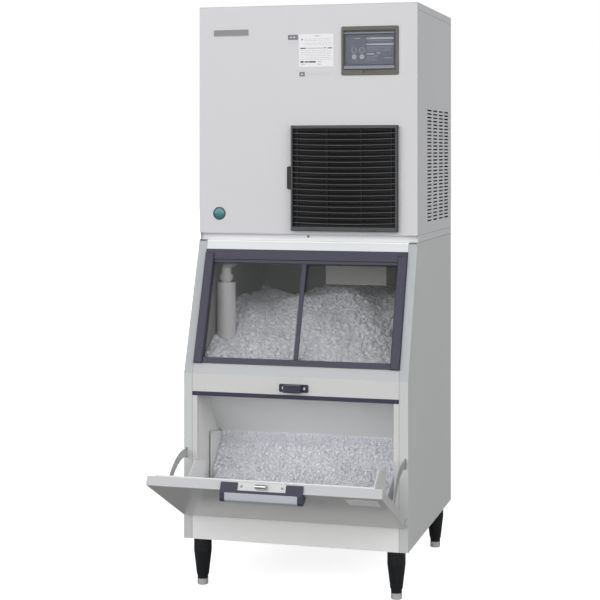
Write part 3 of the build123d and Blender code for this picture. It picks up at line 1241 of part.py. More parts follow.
def save(name, shape):
    """Writes one piece in the machine's own frame."""
    export_step(Pos(0, SHIFT_Y, 0) * shape, f"parts/{name}.step")


def build():
    """Every piece by name, as it stands with the door open."""
    top_rail, bottom_rail = window_cross_rails()
    nodes = {
        "bin_left_panel": bin_side(-1), "bin_right_panel": bin_side(1), "bin_rear_panel": bin_rear(),
        "bin_floor": bin_floor(), "bin_tub": bin_tub(), "top_header": top_header(),
        "window_cross_rails": Compound([top_rail, bottom_rail]),
        "window_side_rails": Compound([window_side_rail(-1), window_side_rail(1)]),
        "front_pane": window_pane(0, -CAVITY_HALF + 1, STILE_RIGHT - 1),
        "rear_pane": window_pane(1, STILE_RIGHT - PANE_LAP, CAVITY_HALF - 1),
        "pane_stile": pane_stile(), "middle_panel": middle_panel(), "opening_trim": opening_trim(),
        "opening_surround": opening_surround(), "kick_panel": kick_panel(), "strike": strike(),
        "ice_baffle": ice_baffle(), "ice_guards": Compound([ice_guard(-1), ice_guard(1)]),
        "drain_sleeve": drain_sleeve(), "ice": ice_heap(),
        "door_panel": swing(door_panel()), "door_liner": swing(door_liner()),
        "door_guards": Compound([swing(door_guard(-1)), swing(door_guard(1))]),
        "door_stays": Compound([swing(door_stay(-1)), swing(door_stay(1))]),
        "handle_bracket": swing(handle_bracket()), "handle_grip": swing(handle_grip()),
        "latch_plate": swing(latch_plate()), "latch_bolt": swing(latch_bolt()),
        "head_base": head_base(), "head_left_panel": head_side(-1, False),
        "head_right_panel": head_side(1, True), "head_rear_panel": head_rear(),
        "head_top_cover": head_top(), "head_front_panel": head_front(),
        "control_bezel": control_bezel(), "control_cover": control_cover(),
        "keypad_plate": keypad_plate(), "louvre_grille": louvre_grille(),
        "air_filter": air_filter(), "condenser": condenser(), "fan_shroud": fan_shroud(),
        "fan_blades": fan_blades(), "compressor": compressor(),
        "evaporator_barrel": evaporator_barrel(), "auger": auger(), "gear_motor": gear_motor(),
        "ice_chute": ice_chute(), "water_tank": water_tank(), "water_float": water_float(),
        "control_box": control_box(), "rear_fittings": rear_fittings(),
        "legs": Compound([Pos(x, y, 0) * leg() for x, y in LEG_PLACES.values()]),
    }
    for row, row_name in enumerate(("upper", "lower")):
        for x, side_name in zip(KEY_X, ("left", "right")):
            nodes[f"key_{row_name}_{side_name}"] = control_key(x, row)
    for place, (x, y) in LEG_PLACES.items():
        nodes[f"foot_{place}"] = Pos(x, y, 0) * foot()
    return nodes


for node_name, node_shape in build().items():
    save(node_name, node_shape)
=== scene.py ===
# %% [markdown]
# # Dressing an ice machine
#
# The shapes of this machine come from a CAD model: a machine head on an insulated bin, a window with
# two sliding panes, and a scoop door that stands open. This lesson gives it its finishes, its stored
# ice and its small trim. The model is loaded first, because every new piece takes its place from it.
# The corners of its box are kept, so that the dressed machine can be compared with it at the end.
# %% Load the machine
import json
import math
import random

import bmesh
import bpy
from mathutils import Matrix, Vector, noise
from mathutils.bvhtree import BVHTree


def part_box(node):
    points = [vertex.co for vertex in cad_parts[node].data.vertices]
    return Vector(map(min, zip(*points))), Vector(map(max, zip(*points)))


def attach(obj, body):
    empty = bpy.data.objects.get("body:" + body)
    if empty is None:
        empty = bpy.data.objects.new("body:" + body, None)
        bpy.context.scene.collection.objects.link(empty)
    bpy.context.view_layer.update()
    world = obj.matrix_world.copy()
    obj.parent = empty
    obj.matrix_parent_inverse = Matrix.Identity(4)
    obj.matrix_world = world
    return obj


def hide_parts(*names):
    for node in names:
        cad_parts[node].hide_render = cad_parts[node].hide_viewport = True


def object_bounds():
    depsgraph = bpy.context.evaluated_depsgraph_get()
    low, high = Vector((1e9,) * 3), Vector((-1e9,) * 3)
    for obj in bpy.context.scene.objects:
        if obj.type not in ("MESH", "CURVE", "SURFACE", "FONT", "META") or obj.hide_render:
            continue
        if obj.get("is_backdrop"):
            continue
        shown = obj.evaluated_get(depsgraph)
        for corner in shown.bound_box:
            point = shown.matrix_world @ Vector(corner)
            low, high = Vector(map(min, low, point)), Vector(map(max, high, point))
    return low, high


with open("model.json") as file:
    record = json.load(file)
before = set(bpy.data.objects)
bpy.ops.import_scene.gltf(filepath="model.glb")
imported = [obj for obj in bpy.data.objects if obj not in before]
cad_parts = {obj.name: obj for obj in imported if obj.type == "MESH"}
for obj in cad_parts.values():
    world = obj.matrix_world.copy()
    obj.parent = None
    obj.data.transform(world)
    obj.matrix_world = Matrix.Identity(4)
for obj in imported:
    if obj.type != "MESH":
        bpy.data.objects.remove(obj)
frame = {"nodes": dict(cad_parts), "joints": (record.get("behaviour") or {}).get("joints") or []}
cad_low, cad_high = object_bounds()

print("CAD box in metres:", [round(v, 4) for v in cad_high - cad_low])

# %% [markdown]
# Sizes are easiest to read in millimetres, measured from the head's front face, because that is the
# flat sheet on which the plates and the controls sit. A small function turns such a place into
# metres in the machine's own frame.
# %% Places in millimetres
MM = 0.001
HEAD_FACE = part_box("head_front_panel")[0].y


def at(x, y, z):
    """A place in metres from millimetres: x to the right, y back from the head's face, z up."""
    return Vector((x * MM, y * MM + HEAD_FACE, z * MM))


print("the head's face lies at y =", round(HEAD_FACE, 4))

# %% [markdown]
# The camera comes before the looks, because every later choice is judged through it. A long lens
# stands to the right of the machine at chest height and looks level, so that upright edges stay
# upright. The frame is shifted down instead of the camera being tilted.
# %% Camera
CAMERA_PLACE = at(1257.9, -4637.0, 1331.9)
CAMERA_TURN = math.radians(15.414)
LENS = 93.02
LENS_SHIFT = -0.2456

camera = bpy.data.objects.new("camera", bpy.data.cameras.new("camera"))
bpy.context.scene.collection.objects.link(camera)
camera.location = CAMERA_PLACE
camera.rotation_euler = (math.radians(90), 0, CAMERA_TURN)
camera.data.lens = LENS
camera.data.sensor_width = 36
camera.data.shift_y = LENS_SHIFT
bpy.context.scene.camera = camera
bpy.context.scene.view_settings.view_transform = "Standard"
print("camera at", [round(v, 3) for v in CAMERA_PLACE])

# %% [markdown]
# A finish is a small network of shader nodes. Written node by node it is long and hard to read, so
# one class wraps a socket and lets it be added, subtracted and multiplied like a number, and another
# holds a material and makes every other node with one method.
# %% Shader maths
class Value:
    """A shader socket that can be used in sums."""

    def __init__(self, finish, socket):
        self.finish = finish
        self.socket = socket

    def maths(self, operation, first, second):
        return self.finish.node("ShaderNodeMath", {"operation": operation}, {0: first, 1: second})

    def __add__(self, other):
        return self.maths("ADD", self, other)

    __radd__ = __add__

    def __sub__(self, other):
        return self.maths("SUBTRACT", self, other)

    def __rsub__(self, other):
        return self.maths("SUBTRACT", other, self)

    def __mul__(self, other):
        return self.maths("MULTIPLY", self, other)

    __rmul__ = __mul__

    def __gt__(self, other):
        return self.maths("GREATER_THAN", self, other)


class Finish:
    """One material, built round a Principled shader."""

    def __init__(self, name, **constants):
        self.material = bpy.data.materials.new(name)
        self.material.use_nodes = True
        self.tree = self.material.node_tree
        self.shader = self.tree.nodes["Principled BSDF"]
        for key, value in constants.items():
            self.shader.inputs[key.replace("_", " ")].default_value = value

    def feed(self, node, sockets):
        """Links or sets the sockets of a node."""
        for key, value in sockets.items():
            if isinstance(value, Value):
                self.tree.links.new(value.socket, node.inputs[key])
            else:
                node.inputs[key].default_value = value

    def node(self, kind, settings=None, sockets=None, out=0):
        """Makes a node with its settings, feeds its sockets and returns one of its outputs."""
        made = self.tree.nodes.new(kind)
        for key, value in (settings or {}).items():
            setattr(made, key, value)
        self.feed(made, sockets or {})
        return Value(self, made.outputs[out])

    def place(self, stretch=(1, 1, 1), turn=(0, 0, 0)):
        """The object's own coordinates in metres, stretched or turned."""
        own = self.node("ShaderNodeTexCoord", out="Object")
        return self.node("ShaderNodeMapping", {}, {"Vector": own, "Scale": stretch, "Rotation": turn})

    def noise(self, scale, detail=2.0, stretch=(1, 1, 1)):
        """Soft noise from 0 to 1, with so many features to a metre."""
        return self.node("ShaderNodeTexNoise", {},
                         {"Vector": self.place(stretch), "Scale": scale, "Detail": detail})

    def axis(self, name):
        """One coordinate in metres."""
        return self.node("ShaderNodeSeparateXYZ", {}, {"Vector": self.place()}, out=name)

    def facing(self, name):
        """One component of the face's normal, from -1 to 1."""
        normal = self.node("ShaderNodeNewGeometry", out="Normal")
        return self.node("ShaderNodeSeparateXYZ", {}, {"Vector": normal}, out=name)

    def ramp(self, value, low, high):
        """Runs from 0 to 1 while the value runs from low to high."""
        return self.node("ShaderNodeMapRange", {"interpolation_type": "SMOOTHSTEP"},
                         {"Value": value, "From Min": low, "From Max": high})

    def mix(self, factor, first, second):
        """A colour between two colours."""
        return self.node("ShaderNodeMix", {"data_type": "RGBA"}, {0: factor, 6: first, 7: second}, out=2)

    def dress(self, base, roughness, height=None, strength=0.1, depth=0.0002):
        """Feeds the shader, with a bump where a height is given."""
        self.feed(self.shader, {"Base Color": base, "Roughness": roughness})
        if height is not None:
            bump = self.node("ShaderNodeBump", {}, {"Height": height, "Strength": strength,
                                                    "Distance": depth})
            self.feed(self.shader, {"Normal": bump})
        return self.material


def shade(colour, light):
    """The colour made lighter or darker by a share, with full alpha."""
    return (*(min(1.0, c * light) for c in colour), 1.0)


print("shader maths ready")

# %% [markdown]
# The casing is steel sheet with a satin coat. Up close the coat has a fine orange-peel texture, and
# across a panel its tone drifts by a percent or two. Both come from noise: a fine one drives the
# bump and a large one drives colour and roughness. A sheet that tilts upwards is painted cooler and
# darker than one that stands upright. This is painted shade for faces that turn away from the level
# lamps, and the finish reads the tilt from the face's normal. The head, the bin's sides and its front
# are slightly different greys. The narrow strips that lie back under an edge are painted paler, as
# painted light that offsets the shade they lie in.
# %% Coated sheet
# Painted shade: the cooler, darker tint given to faces that tilt upwards.
UPWARD_SHADE_TINT = (0.78, 0.79, 0.83)


def coated_sheet(name, colour, roughness, drift=0.03, peel=0.12, coat=0.0):
    finish = Finish(name, Coat_Weight=coat, Coat_Roughness=0.18, Specular_IOR_Level=0.4)
    cloud = finish.noise(2.2, 3.0)
    fine = finish.noise(650.0, 2.0)
    upright = finish.mix(cloud, shade(colour, 1 - drift), shade(colour, 1 + drift))
    # Faces that tilt upwards get this darker tint, as painted shade for their turn away from the lamps.
    tilted_shade = shade([c * tint for c, tint in zip(colour, UPWARD_SHADE_TINT)], 1)
    base = finish.mix(finish.ramp(finish.facing("Z"), 0.05, 0.35), upright, tilted_shade)
    return finish.dress(base, roughness + (cloud - 0.5) * 0.12, fine, peel, 0.00012)


BIN_FRONT_GREY = (0.600, 0.600, 0.595)

head_front = coated_sheet("head_front_coat", (0.630, 0.628, 0.652), 0.42)
head_side = coated_sheet("head_side_coat", (0.600, 0.605, 0.625), 0.45)
bin_side = coated_sheet("bin_side_coat", (0.560, 0.575, 0.565), 0.50)
bin_front = coated_sheet("bin_front_coat", BIN_FRONT_GREY, 0.36)
# The base strip, the kick panel and the header are painted paler than the sheets round them. This is
# painted light that offsets the shade they lie in under an edge.
base_strip = coated_sheet("base_strip_coat", (0.84, 0.84, 0.86), 0.42)
kick_coat = coated_sheet("kick_panel_coat", (0.81, 0.81, 0.805), 0.36)
header_coat = coated_sheet("header_coat", (0.90, 0.915, 0.89), 0.36)
door_skin = coated_sheet("door_coat", BIN_FRONT_GREY, 0.32, coat=0.6)
print("coated sheet finishes:", head_front.name, head_side.name, bin_side.name, bin_front.name)

# %% [markdown]
# Moulded plastic has a fine even grain from its mould and nearly one tone. The same recipe serves
# the dark blue window frame, the white guards, the control window and the black grille, each with
# its own colour, gloss and grain.
# %% Moulded plastic
def moulded(name, colour, roughness, grain=900.0, relief=0.08, drift=0.05, coat=0.0, shine=0.5):
    finish = Finish(name, Coat_Weight=coat, Coat_Roughness=0.1, Specular_IOR_Level=shine)
    fine = finish.noise(grain, 2.0)
    cloud = finish.noise(9.0, 2.0)
    base = finish.mix(cloud, shade(colour, 1 - drift), shade(colour, 1 + drift))
    return finish.dress(base, roughness + (fine - 0.5) * 0.1, fine, relief, 0.0001)


navy = moulded("navy_plastic", (0.037, 0.036, 0.063), 0.36, shine=0.35)
white_plastic = moulded("white_plastic", (0.74, 0.745, 0.74), 0.30, relief=0.03, drift=0.02)
sleeve_white = moulded("sleeve_plastic", (0.60, 0.59, 0.60), 0.20, relief=0.02, drift=0.02, coat=0.5)
chute_beige = moulded("chute_plastic", (0.38, 0.37, 0.35), 0.42, grain=300.0, drift=0.03)
taupe = moulded("control_frame_plastic", (0.118, 0.115, 0.097), 0.42, relief=0.15, shine=0.35)
slate = moulded("keypad_film", (0.105, 0.112, 0.152), 0.35, relief=0.04, shine=0.3)
key_dark = moulded("dark_key", (0.115, 0.123, 0.165), 0.38, shine=0.3)
key_light = moulded("pale_key", (0.42, 0.45, 0.52), 0.38)
grip_blue = moulded("grip_plastic", (0.44, 0.46, 0.50), 0.38, drift=0.02)
leg_black = moulded("leg_coat", (0.008, 0.009, 0.010), 0.28, grain=400.0, relief=0.06, shine=0.45)
tank_plastic = moulded("tank_plastic", (0.62, 0.64, 0.66), 0.4)
machine_black = moulded("machine_black", (0.018, 0.018, 0.02), 0.35, grain=200.0)
print("plastic finishes made")

# %% [markdown]
# The grille looks like two plastics, though it is one. Its front edges and its frame keep the
# plastic's own dark grey. The slopes of the blades are painted near-black, as painted shade for the
# dark behind them. Which way a face looks and how far forward it lies decide between the two. The
# filter's frame takes the same near-black, partly its own black and partly painted shade. Its tab is
# browner, chosen by how far it lies to the left.
# %% Grille and filter
EDGE_TONE = (0.070, 0.074, 0.080, 1)
# Near-black: painted shade on the slopes of the blades, and the filter frame's own black.
SHADED_SLOPE_AND_FILTER_TONE = (0.0065, 0.007, 0.0065, 1)
TAB_TONE = (0.045, 0.040, 0.031, 1)
TAB_END = -45.5
SLAT_FRONT = 13.3
SLAT_BLEND = 0.15


def grille():
    finish = Finish("grille_plastic", Specular_IOR_Level=0.3)
    faces_front = 1 - finish.ramp(finish.facing("Y"), -0.95, -0.80)
    lies_front = 1 - finish.ramp(finish.axis("Y"), HEAD_FACE - (SLAT_FRONT + SLAT_BLEND) * MM,
                                 HEAD_FACE - (SLAT_FRONT - SLAT_BLEND) * MM)
    grain = finish.noise(900.0, 2.0)
    # Faces near the front that look forward keep the plastic's grey. All other faces get the painted
    # shade.
    base = finish.mix(faces_front * lies_front, SHADED_SLOPE_AND_FILTER_TONE, EDGE_TONE)
    return finish.dress(base, 0.36 + grain * 0.08, grain, 0.12, 0.0001)


def filter_frame():
    finish = Finish("filter_plastic", Specular_IOR_Level=0.25)
    grain = finish.noise(500.0, 2.0)
    # The frame gets the near-black of its own black and painted shade. The tab to the left is browner.
    base = finish.mix(finish.axis("X") > TAB_END * MM, TAB_TONE, SHADED_SLOPE_AND_FILTER_TONE)
    return finish.dress(base, 0.45 + grain * 0.15, grain, 0.3, 0.0001)


grille_black = grille()
filter_black = filter_frame()
print("grille and filter finished")

# %% [markdown]
# Bare metal shows its working: brushing leaves fine parallel scratches, which are noise stretched
# along one axis. They change the roughness and the bump and hardly the colour.
# %% Bare metal
def brushed(name, colour, roughness, stretch, metallic=1.0, relief=0.1):
    finish = Finish(name, Metallic=metallic)
    lines = finish.noise(60.0, 4.0, stretch)
    base = finish.mix(lines, shade(colour, 0.94), shade(colour, 1.06))
    return finish.dress(base, roughness + (lines - 0.5) * 0.2, lines, relief, 0.0001)


ALONG_X = (0.5, 30, 30)
ALONG_Z = (30, 30, 0.5)
steel = brushed("brushed_steel", (0.50, 0.50, 0.50), 0.36, ALONG_X, metallic=0.8)
stay_steel = brushed("stay_steel", (0.50, 0.50, 0.50), 0.34, ALONG_Z, metallic=0.5)
plate_steel = brushed("latch_plate_steel", (0.56, 0.56, 0.555), 0.38, ALONG_X, metallic=0.3)
bright_steel = brushed("bright_steel", (0.62, 0.62, 0.64), 0.16, ALONG_X)
foot_steel = brushed("foot_steel", (0.60, 0.60, 0.61), 0.28, (6, 6, 90), metallic=0.45, relief=0.2)
zinc = brushed("zinc_sheet", (0.60, 0.62, 0.64), 0.40, (6, 6, 6))
baffle_steel = brushed("baffle_sheet", (0.70, 0.705, 0.70), 0.42, ALONG_X, metallic=0.1)
name_rim = brushed("name_plate_rim", (0.52, 0.52, 0.54), 0.3, ALONG_X, metallic=0.2)
name_field = brushed("name_plate_field", (0.225, 0.225, 0.24), 0.42, ALONG_X, metallic=0.1)
print("metal finishes made")

# %% [markdown]
# The tub is one moulding, but it is painted differently in its two rooms. Round the scoop opening
# its lining is pale. High up behind the window it is painted a darker grey that deepens towards the
# back. This is painted shade for the closed bin, which gets less light the deeper it goes. Height and
# depth in metres steer the change.
# %% Lining of the tub
PALE_LINING = (0.70, 0.70, 0.68, 1)
# Painted shade: the darker grey behind the window, and the still darker grey at its back.
SHADED_LINING = (0.20, 0.205, 0.185, 1)
DEEPER_SHADED_LINING = (0.075, 0.08, 0.07, 1)


def lining():
    finish = Finish("tub_lining", Specular_IOR_Level=0.4)
    upper = finish.ramp(finish.axis("Z"), 0.55, 0.66)
    # The painted shade deepens from the window towards the back of the bin.
    depth_shade = finish.ramp(finish.axis("Y"), HEAD_FACE + 0.05, HEAD_FACE + 0.45)
    shaded_room = finish.mix(depth_shade, SHADED_LINING, DEEPER_SHADED_LINING)
    grain = finish.noise(300.0, 2.0)
    return finish.dress(finish.mix(upper, PALE_LINING, shaded_room), 0.38 + grain * 0.1, grain, 0.08)


tub_lining = lining()
print("lining:", tub_lining.name)

# %% [markdown]
# The condenser behind the filter is a stack of thin upright fins. They are only glimpsed between the
# slats, so a stripe every two millimetres stands for them in colour and bump. The near-black stripe
# between two fins is painted shade.
# %% Condenser fins
FINS_PER_METRE = 500.0
FIN_SHARE = 0.55


def fin_stack():
    finish = Finish("condenser_fins", Metallic=0.6)
    along = finish.axis("X") * FINS_PER_METRE
    stripe = finish.node("ShaderNodeMath", {"operation": "FRACT"}, {0: along})
    gap = stripe > FIN_SHARE
    # The dark stripe between the fins is painted shade.
    base = finish.mix(gap, (0.42, 0.43, 0.44, 1), (0.03, 0.03, 0.03, 1))
    return finish.dress(base, 0.4 + gap * 0.3, 1 - gap, 0.6, 0.001)


fins = fin_stack()
print("fins:", fins.name)

# %% [markdown]
# The panes are clear plastic. Refraction would darken all that lies behind them. A shader that is
# mostly see-through, with a little body colour and a glossy skin, lets the lamps light the ice
# directly and still shows the pane.
# %% Clear plastic
def clear_plastic(name, colour, alpha, roughness=0.06):
    finish = Finish(name, Alpha=alpha, Specular_IOR_Level=0.5)
    haze = finish.noise(7.0, 2.0)
    base = finish.mix(haze, shade(colour, 0.96), shade(colour, 1.04))
    return finish.dress(base, roughness + haze * 0.02)


clear_pane = clear_plastic("clear_pane", (0.10, 0.105, 0.105), 0.12)
clear_cover = clear_plastic("clear_cover", (0.24, 0.25, 0.30), 0.10)
print("clear finishes:", clear_pane.name, clear_cover.name)

# %% [markdown]
# Ice chips are white where they are full of air and grey-blue where they are clear. Each chip gets
# its own tone from cells of about its own size, and a wet gloss. Light that scatters a centimetre
# under the skin softens the shadows between the chips, as it does in real ice.
# %% Ice
def ice_finish(name, cells):
    finish = Finish(name, IOR=1.31, Subsurface_Weight=0.55, Subsurface_Scale=0.014,
                    Subsurface_Radius=(1.0, 1.0, 1.0))
    cell = finish.node("ShaderNodeTexVoronoi", {}, {"Vector": finish.place(), "Scale": cells},
                       out="Color")
    tone = finish.node("ShaderNodeSeparateColor", {}, {"Color": cell}, out=0)
    frost = finish.noise(420.0, 2.0)
    base = finish.mix(tone * 0.7 + frost * 0.3, (0.74, 0.75, 0.815, 1), (0.89, 0.90, 0.945, 1))
    return finish.dress(base, 0.14 + frost * 0.22, frost, 0.25, 0.0005)


window_ice = ice_finish("ice_in_the_bin", 70.0)
scoop_ice = ice_finish("ice_in_the_opening", 95.0)
print("ice finishes:", window_ice.name, scoop_ice.name)

# %% [markdown]
# Each CAD piece now takes its finish. A table from finish to pieces keeps this readable, and a count
# at the end shows that no piece was forgotten.
# %% Dress the CAD pieces
FINISHES = [
    (head_front, "head_front_panel"),
    (base_strip, "head_base"),
    (head_side, "head_left_panel head_right_panel head_rear_panel head_top_cover"),
    (bin_side, "bin_left_panel bin_right_panel bin_rear_panel bin_floor"),
    (header_coat, "top_header"),
    (bin_front, "middle_panel opening_surround"),
    (kick_coat, "kick_panel"),
    (door_skin, "door_panel"),
    (navy, "window_cross_rails window_side_rails pane_stile opening_trim strike handle_bracket"),
    (white_plastic, "ice_guards door_guards door_liner"),
    (sleeve_white, "drain_sleeve"),
    (tub_lining, "bin_tub"),
    (chute_beige, "ice_chute"),
    (baffle_steel, "ice_baffle"),
    (clear_pane, "front_pane rear_pane"),
    (clear_cover, "control_cover"),
    (taupe, "control_bezel"),
    (slate, "keypad_plate"),
    (key_dark, "key_upper_left key_upper_right"),
    (key_light, "key_lower_left key_lower_right"),
    (grille_black, "louvre_grille"),
    (filter_black, "air_filter"),
    (grip_blue, "handle_grip"),
    (plate_steel, "latch_plate"),
    (stay_steel, "door_stays"),
    (bright_steel, "latch_bolt"),
    (foot_steel, "foot_front_left foot_front_right foot_rear_left foot_rear_right"),
    (leg_black, "legs"),
    (machine_black, "compressor fan_blades gear_motor"),
    (fins, "condenser"),
    (zinc, "fan_shroud control_box evaporator_barrel"),
    (steel, "auger rear_fittings"),
    (tank_plastic, "water_tank water_float"),
    (window_ice, "ice"),
]
dressed = set()
for material, names in FINISHES:
    for node_name in names.split():
        for material_slot in frame["nodes"][node_name].material_slots:
            material_slot.material = material
        dressed.add(node_name)
print("dressed", len(dressed), "of", len(frame["nodes"]), "pieces; left:", set(frame["nodes"]) - dressed)

# %% [markdown]
# New pieces are made as by hand. A few helpers keep that short: they leave edit mode with nothing
# selected, select faces or edges by a test, put a piece's place into its mesh, make a block, copy and
# join pieces, and give a finished piece its body and its finish.
# %% Modelling helpers
def clear_selection():
    if bpy.context.object and bpy.context.object.mode != "OBJECT":
        bpy.ops.object.mode_set(mode="OBJECT")
    bpy.ops.object.select_all(action="DESELECT")


def choose(*pieces):
    """Selects these pieces alone and makes the first one active."""
    clear_selection()
    for piece in pieces:
        piece.select_set(True)
    bpy.context.view_layer.objects.active = pieces[0]


def select_where(piece, kind, test):
    """In edit mode, selects the faces or the edges that pass the test."""
    mesh = bmesh.from_edit_mesh(piece.data)
    bpy.ops.mesh.select_mode(type=kind)
    bpy.ops.mesh.select_all(action="DESELECT")
    for element in mesh.faces if kind == "FACE" else mesh.edges:
        if test(element):
            element.select_set(True)
    bmesh.update_edit_mesh(piece.data)


def settle(piece):
    """Puts the piece's place, turn and scale into its mesh."""
    choose(piece)
    bpy.ops.object.transform_apply(location=True, rotation=True, scale=True)


def block(low, high):
    """A block between two corners."""
    clear_selection()
    bpy.ops.mesh.primitive_cube_add(size=1, location=(low + high) / 2, scale=high - low)
    piece = bpy.context.object
    settle(piece)
    return piece


def placed_copy(piece, placing):
    """A copy with its own mesh, placed by a matrix."""
    copy = piece.copy()
    copy.data = piece.data.copy()
    bpy.context.scene.collection.objects.link(copy)
    copy.data.transform(placing)
    return copy


def hand_over(piece, name, body, finish):
    """Names a finished piece, gives it one finish if it has none, and lets it ride on its body."""
    piece.name = name
    piece.data.name = name
    if not piece.data.materials:
        piece.data.materials.append(finish)
    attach(piece, body)
    return piece


def join(pieces):
    """Joins several pieces into the first."""
    choose(*pieces)
    bpy.ops.object.join()
    return pieces[0]


print("helpers ready")

# %% [markdown]
# Small signs are thin plates with rounded corners. Each starts as a block of the plate's size, and
# its four corner edges are bevelled. Where it has a field, its front face is inset to make a rim, and
# the field inside the rim is pushed back a little and gets its own finish.
# %% A thin plate
def thin_plate(x0, x1, z0, z1, front, back, corner, rim=0.0, sink=0.0, field=None, rim_finish=None):
    plate = block(at(x0, front, z0), at(x1, back, z1))
    bpy.ops.object.mode_set(mode="EDIT")
    select_where(plate, "EDGE", lambda e: abs((e.verts[0].co - e.verts[1].co).normalized().y) > 0.9)
    bpy.ops.mesh.bevel(offset=corner * MM, segments=5, affect="EDGES")
    if field:
        plate.data.materials.append(rim_finish)
        plate.data.materials.append(field)
        select_where(plate, "FACE", lambda f: f.normal.y < -0.9)
        bpy.ops.mesh.inset(thickness=rim * MM)
        bpy.ops.transform.translate(value=(0, sink * MM, 0))
        plate.active_material_index = 1
        bpy.ops.object.material_slot_assign()
    bpy.ops.object.mode_set(mode="OBJECT")
    return plate


NAME_PLATE = (-302.5, -186.5, 1697.2, 1717.8)
plate = thin_plate(*NAME_PLATE, -1.6, 0, 1.2, rim=1.3, sink=0.5, field=name_field, rim_finish=name_rim)
hand_over(plate, "name_plate", "root", name_rim)
print("blank name plate:", NAME_PLATE)

# %% [markdown]
# The round badge is a shallow resin dome in a dark rim. A cylinder's front is inset again and again:
# the outer ring stays dark, and each inner one is moved forward by less than the last, which makes
# the dome.
# %% Round badge
BADGE_X, BADGE_Z = -283.6, 1141.0
BADGE_RADIUS, BADGE_RIM = 20.5, 4.2
DOME_STEPS = ((3.0, 0.35), (4.5, 0.25), (5.0, 0.1))
badge_dark = moulded("badge_rim", (0.022, 0.035, 0.042), 0.3)
badge_teal = moulded("badge_middle", (0.010, 0.165, 0.185), 0.22, coat=0.6)


def round_badge():
    clear_selection()
    bpy.ops.mesh.primitive_cylinder_add(vertices=64, radius=BADGE_RADIUS * MM, depth=1.0 * MM,
                                        location=at(BADGE_X, -0.5, BADGE_Z),
                                        rotation=(math.radians(90), 0, 0))
    badge = bpy.context.object
    settle(badge)
    badge.data.materials.append(badge_dark)
    badge.data.materials.append(badge_teal)
    bpy.ops.object.mode_set(mode="EDIT")
    select_where(badge, "FACE", lambda f: f.normal.y < -0.9)
    bpy.ops.mesh.inset(thickness=BADGE_RIM * MM)
    badge.active_material_index = 1
    bpy.ops.object.material_slot_assign()
    for inset, rise in DOME_STEPS:
        bpy.ops.mesh.inset(thickness=inset * MM)
        bpy.ops.transform.translate(value=(0, -rise * MM, 0))
    bpy.ops.object.mode_set(mode="OBJECT")
    bpy.ops.object.shade_smooth_by_angle(angle=math.radians(40))
    return badge


hand_over(round_badge(), "round_badge", "root", badge_dark)
print("badge radius in mm:", BADGE_RADIUS)

# %% [markdown]
# The notice is a white sheet with rows of print. At this distance print is only grey texture, so it
# is made as plain short bars: a heading, rows of dashes of uneven length, and a few dark bands. A
# seeded generator keeps the dashes the same at each run, and each bar is a thin block of its own.
# Rectangles and rows are given in millimetres, as left, right, foot and top.
# %% Print as plain bars
def bars(rectangles, front, thick=0.12):
    """One mesh of thin blocks, each given as (x0, x1, z0, z1)."""
    return join([block(at(x0, front - thick, z0), at(x1, front, z1)) for x0, x1, z0, z1 in rectangles])


def dashes(rng, x0, x1, z, height, shortest, longest, gap):
    """A row of dashes of uneven length from x0 to x1."""
    row = []
    x = x0
    while x < x1 - shortest:
        end = min(x + rng.uniform(shortest, longest), x1)
        row.append((x, end, z - height / 2, z + height / 2))
        x = end + gap
    return row


NOTICE = (-23.8, 86.3, 1598.0, 1699.0)
NOTICE_FRONT, LABEL_FRONT = -0.5, -0.3
PRINT_SEED = 11
paper_white = moulded("notice_sheet", (0.80, 0.80, 0.82), 0.45, relief=0.02, drift=0.01)
print_dark = moulded("dark_print", (0.07, 0.07, 0.08), 0.5)
print_grey = moulded("grey_print", (0.42, 0.42, 0.44), 0.5)

notice = thin_plate(*NOTICE, NOTICE_FRONT, 0, 1.5)
hand_over(notice, "notice_sheet", "root", paper_white)

rng = random.Random(PRINT_SEED)
left, right, low, high = NOTICE
grey_rows = [(25, 29, 1692, 1694), (32, 38, 1691, 1695), (41, 45, 1692, 1694)]
for z in (1684, 1679.5, 1671, 1666.5):
    grey_rows += dashes(rng, left + 18, right - 6, z, 1.1, 3, 17, 2.5)
for z in (1648, 1642.5, 1637, 1631.5, 1626, 1620.5):
    grey_rows += dashes(rng, left + 6, right - 5, z, 1.1, 3, 14, 2.5)
grey_rows += [(36, 48, 1613, 1615), (36, 48, 1604.5, 1606.5), (-16, -5, 1604, 1606),
              (left + 24, 54, 1654, 1656.4)]
dark_rows = [(left + 4, left + 22, 1653.5, 1657), (56, 63, 1654.5, 1657.2), (68, right - 4, 1653.5, 1657),
             (-19, -9, 1610, 1616), (-6, 8, 1611, 1615), (9, 30, 1610.5, 1615.5),
             (-16, -12, 1680, 1685)]
hand_over(bars(grey_rows, NOTICE_FRONT), "notice_rows", "root", print_grey)
hand_over(bars(dark_rows, NOTICE_FRONT), "notice_bands", "root", print_dark)

SMALL_LABELS = [(-59.3, -27.3, 1682.0, 1698.0), (-22.5, -5.1, 1568.0, 1582.0)]
label_grey = moulded("small_label", (0.17, 0.17, 0.20), 0.45)
label_pale = moulded("small_label_print", (0.62, 0.62, 0.64), 0.45)
faint_print = moulded("faint_print", (0.46, 0.46, 0.48), 0.45)
labels = join([thin_plate(*label, LABEL_FRONT, 0, 0.6) for label in SMALL_LABELS])
hand_over(labels, "small_labels", "root", label_grey)
marks = [(-52, -46, 1688, 1692), (-42, -36, 1688, 1692), (-17, -10.5, 1573, 1577)]
hand_over(bars(marks, LABEL_FRONT), "small_label_marks", "root", label_pale)
faint = []
for z in (1676, 1671.5, 1667, 1662.5):
    faint += dashes(rng, -58, -29, z, 0.9, 3, 9, 2)
for z in (1577, 1571.5):
    faint += dashes(rng, -1, 80, z, 1.0, 4, 13, 2)
hand_over(bars(faint, 0.0), "faint_rows", "root", faint_print)
print("bars of print:", len(grey_rows) + len(dark_rows) + len(faint))
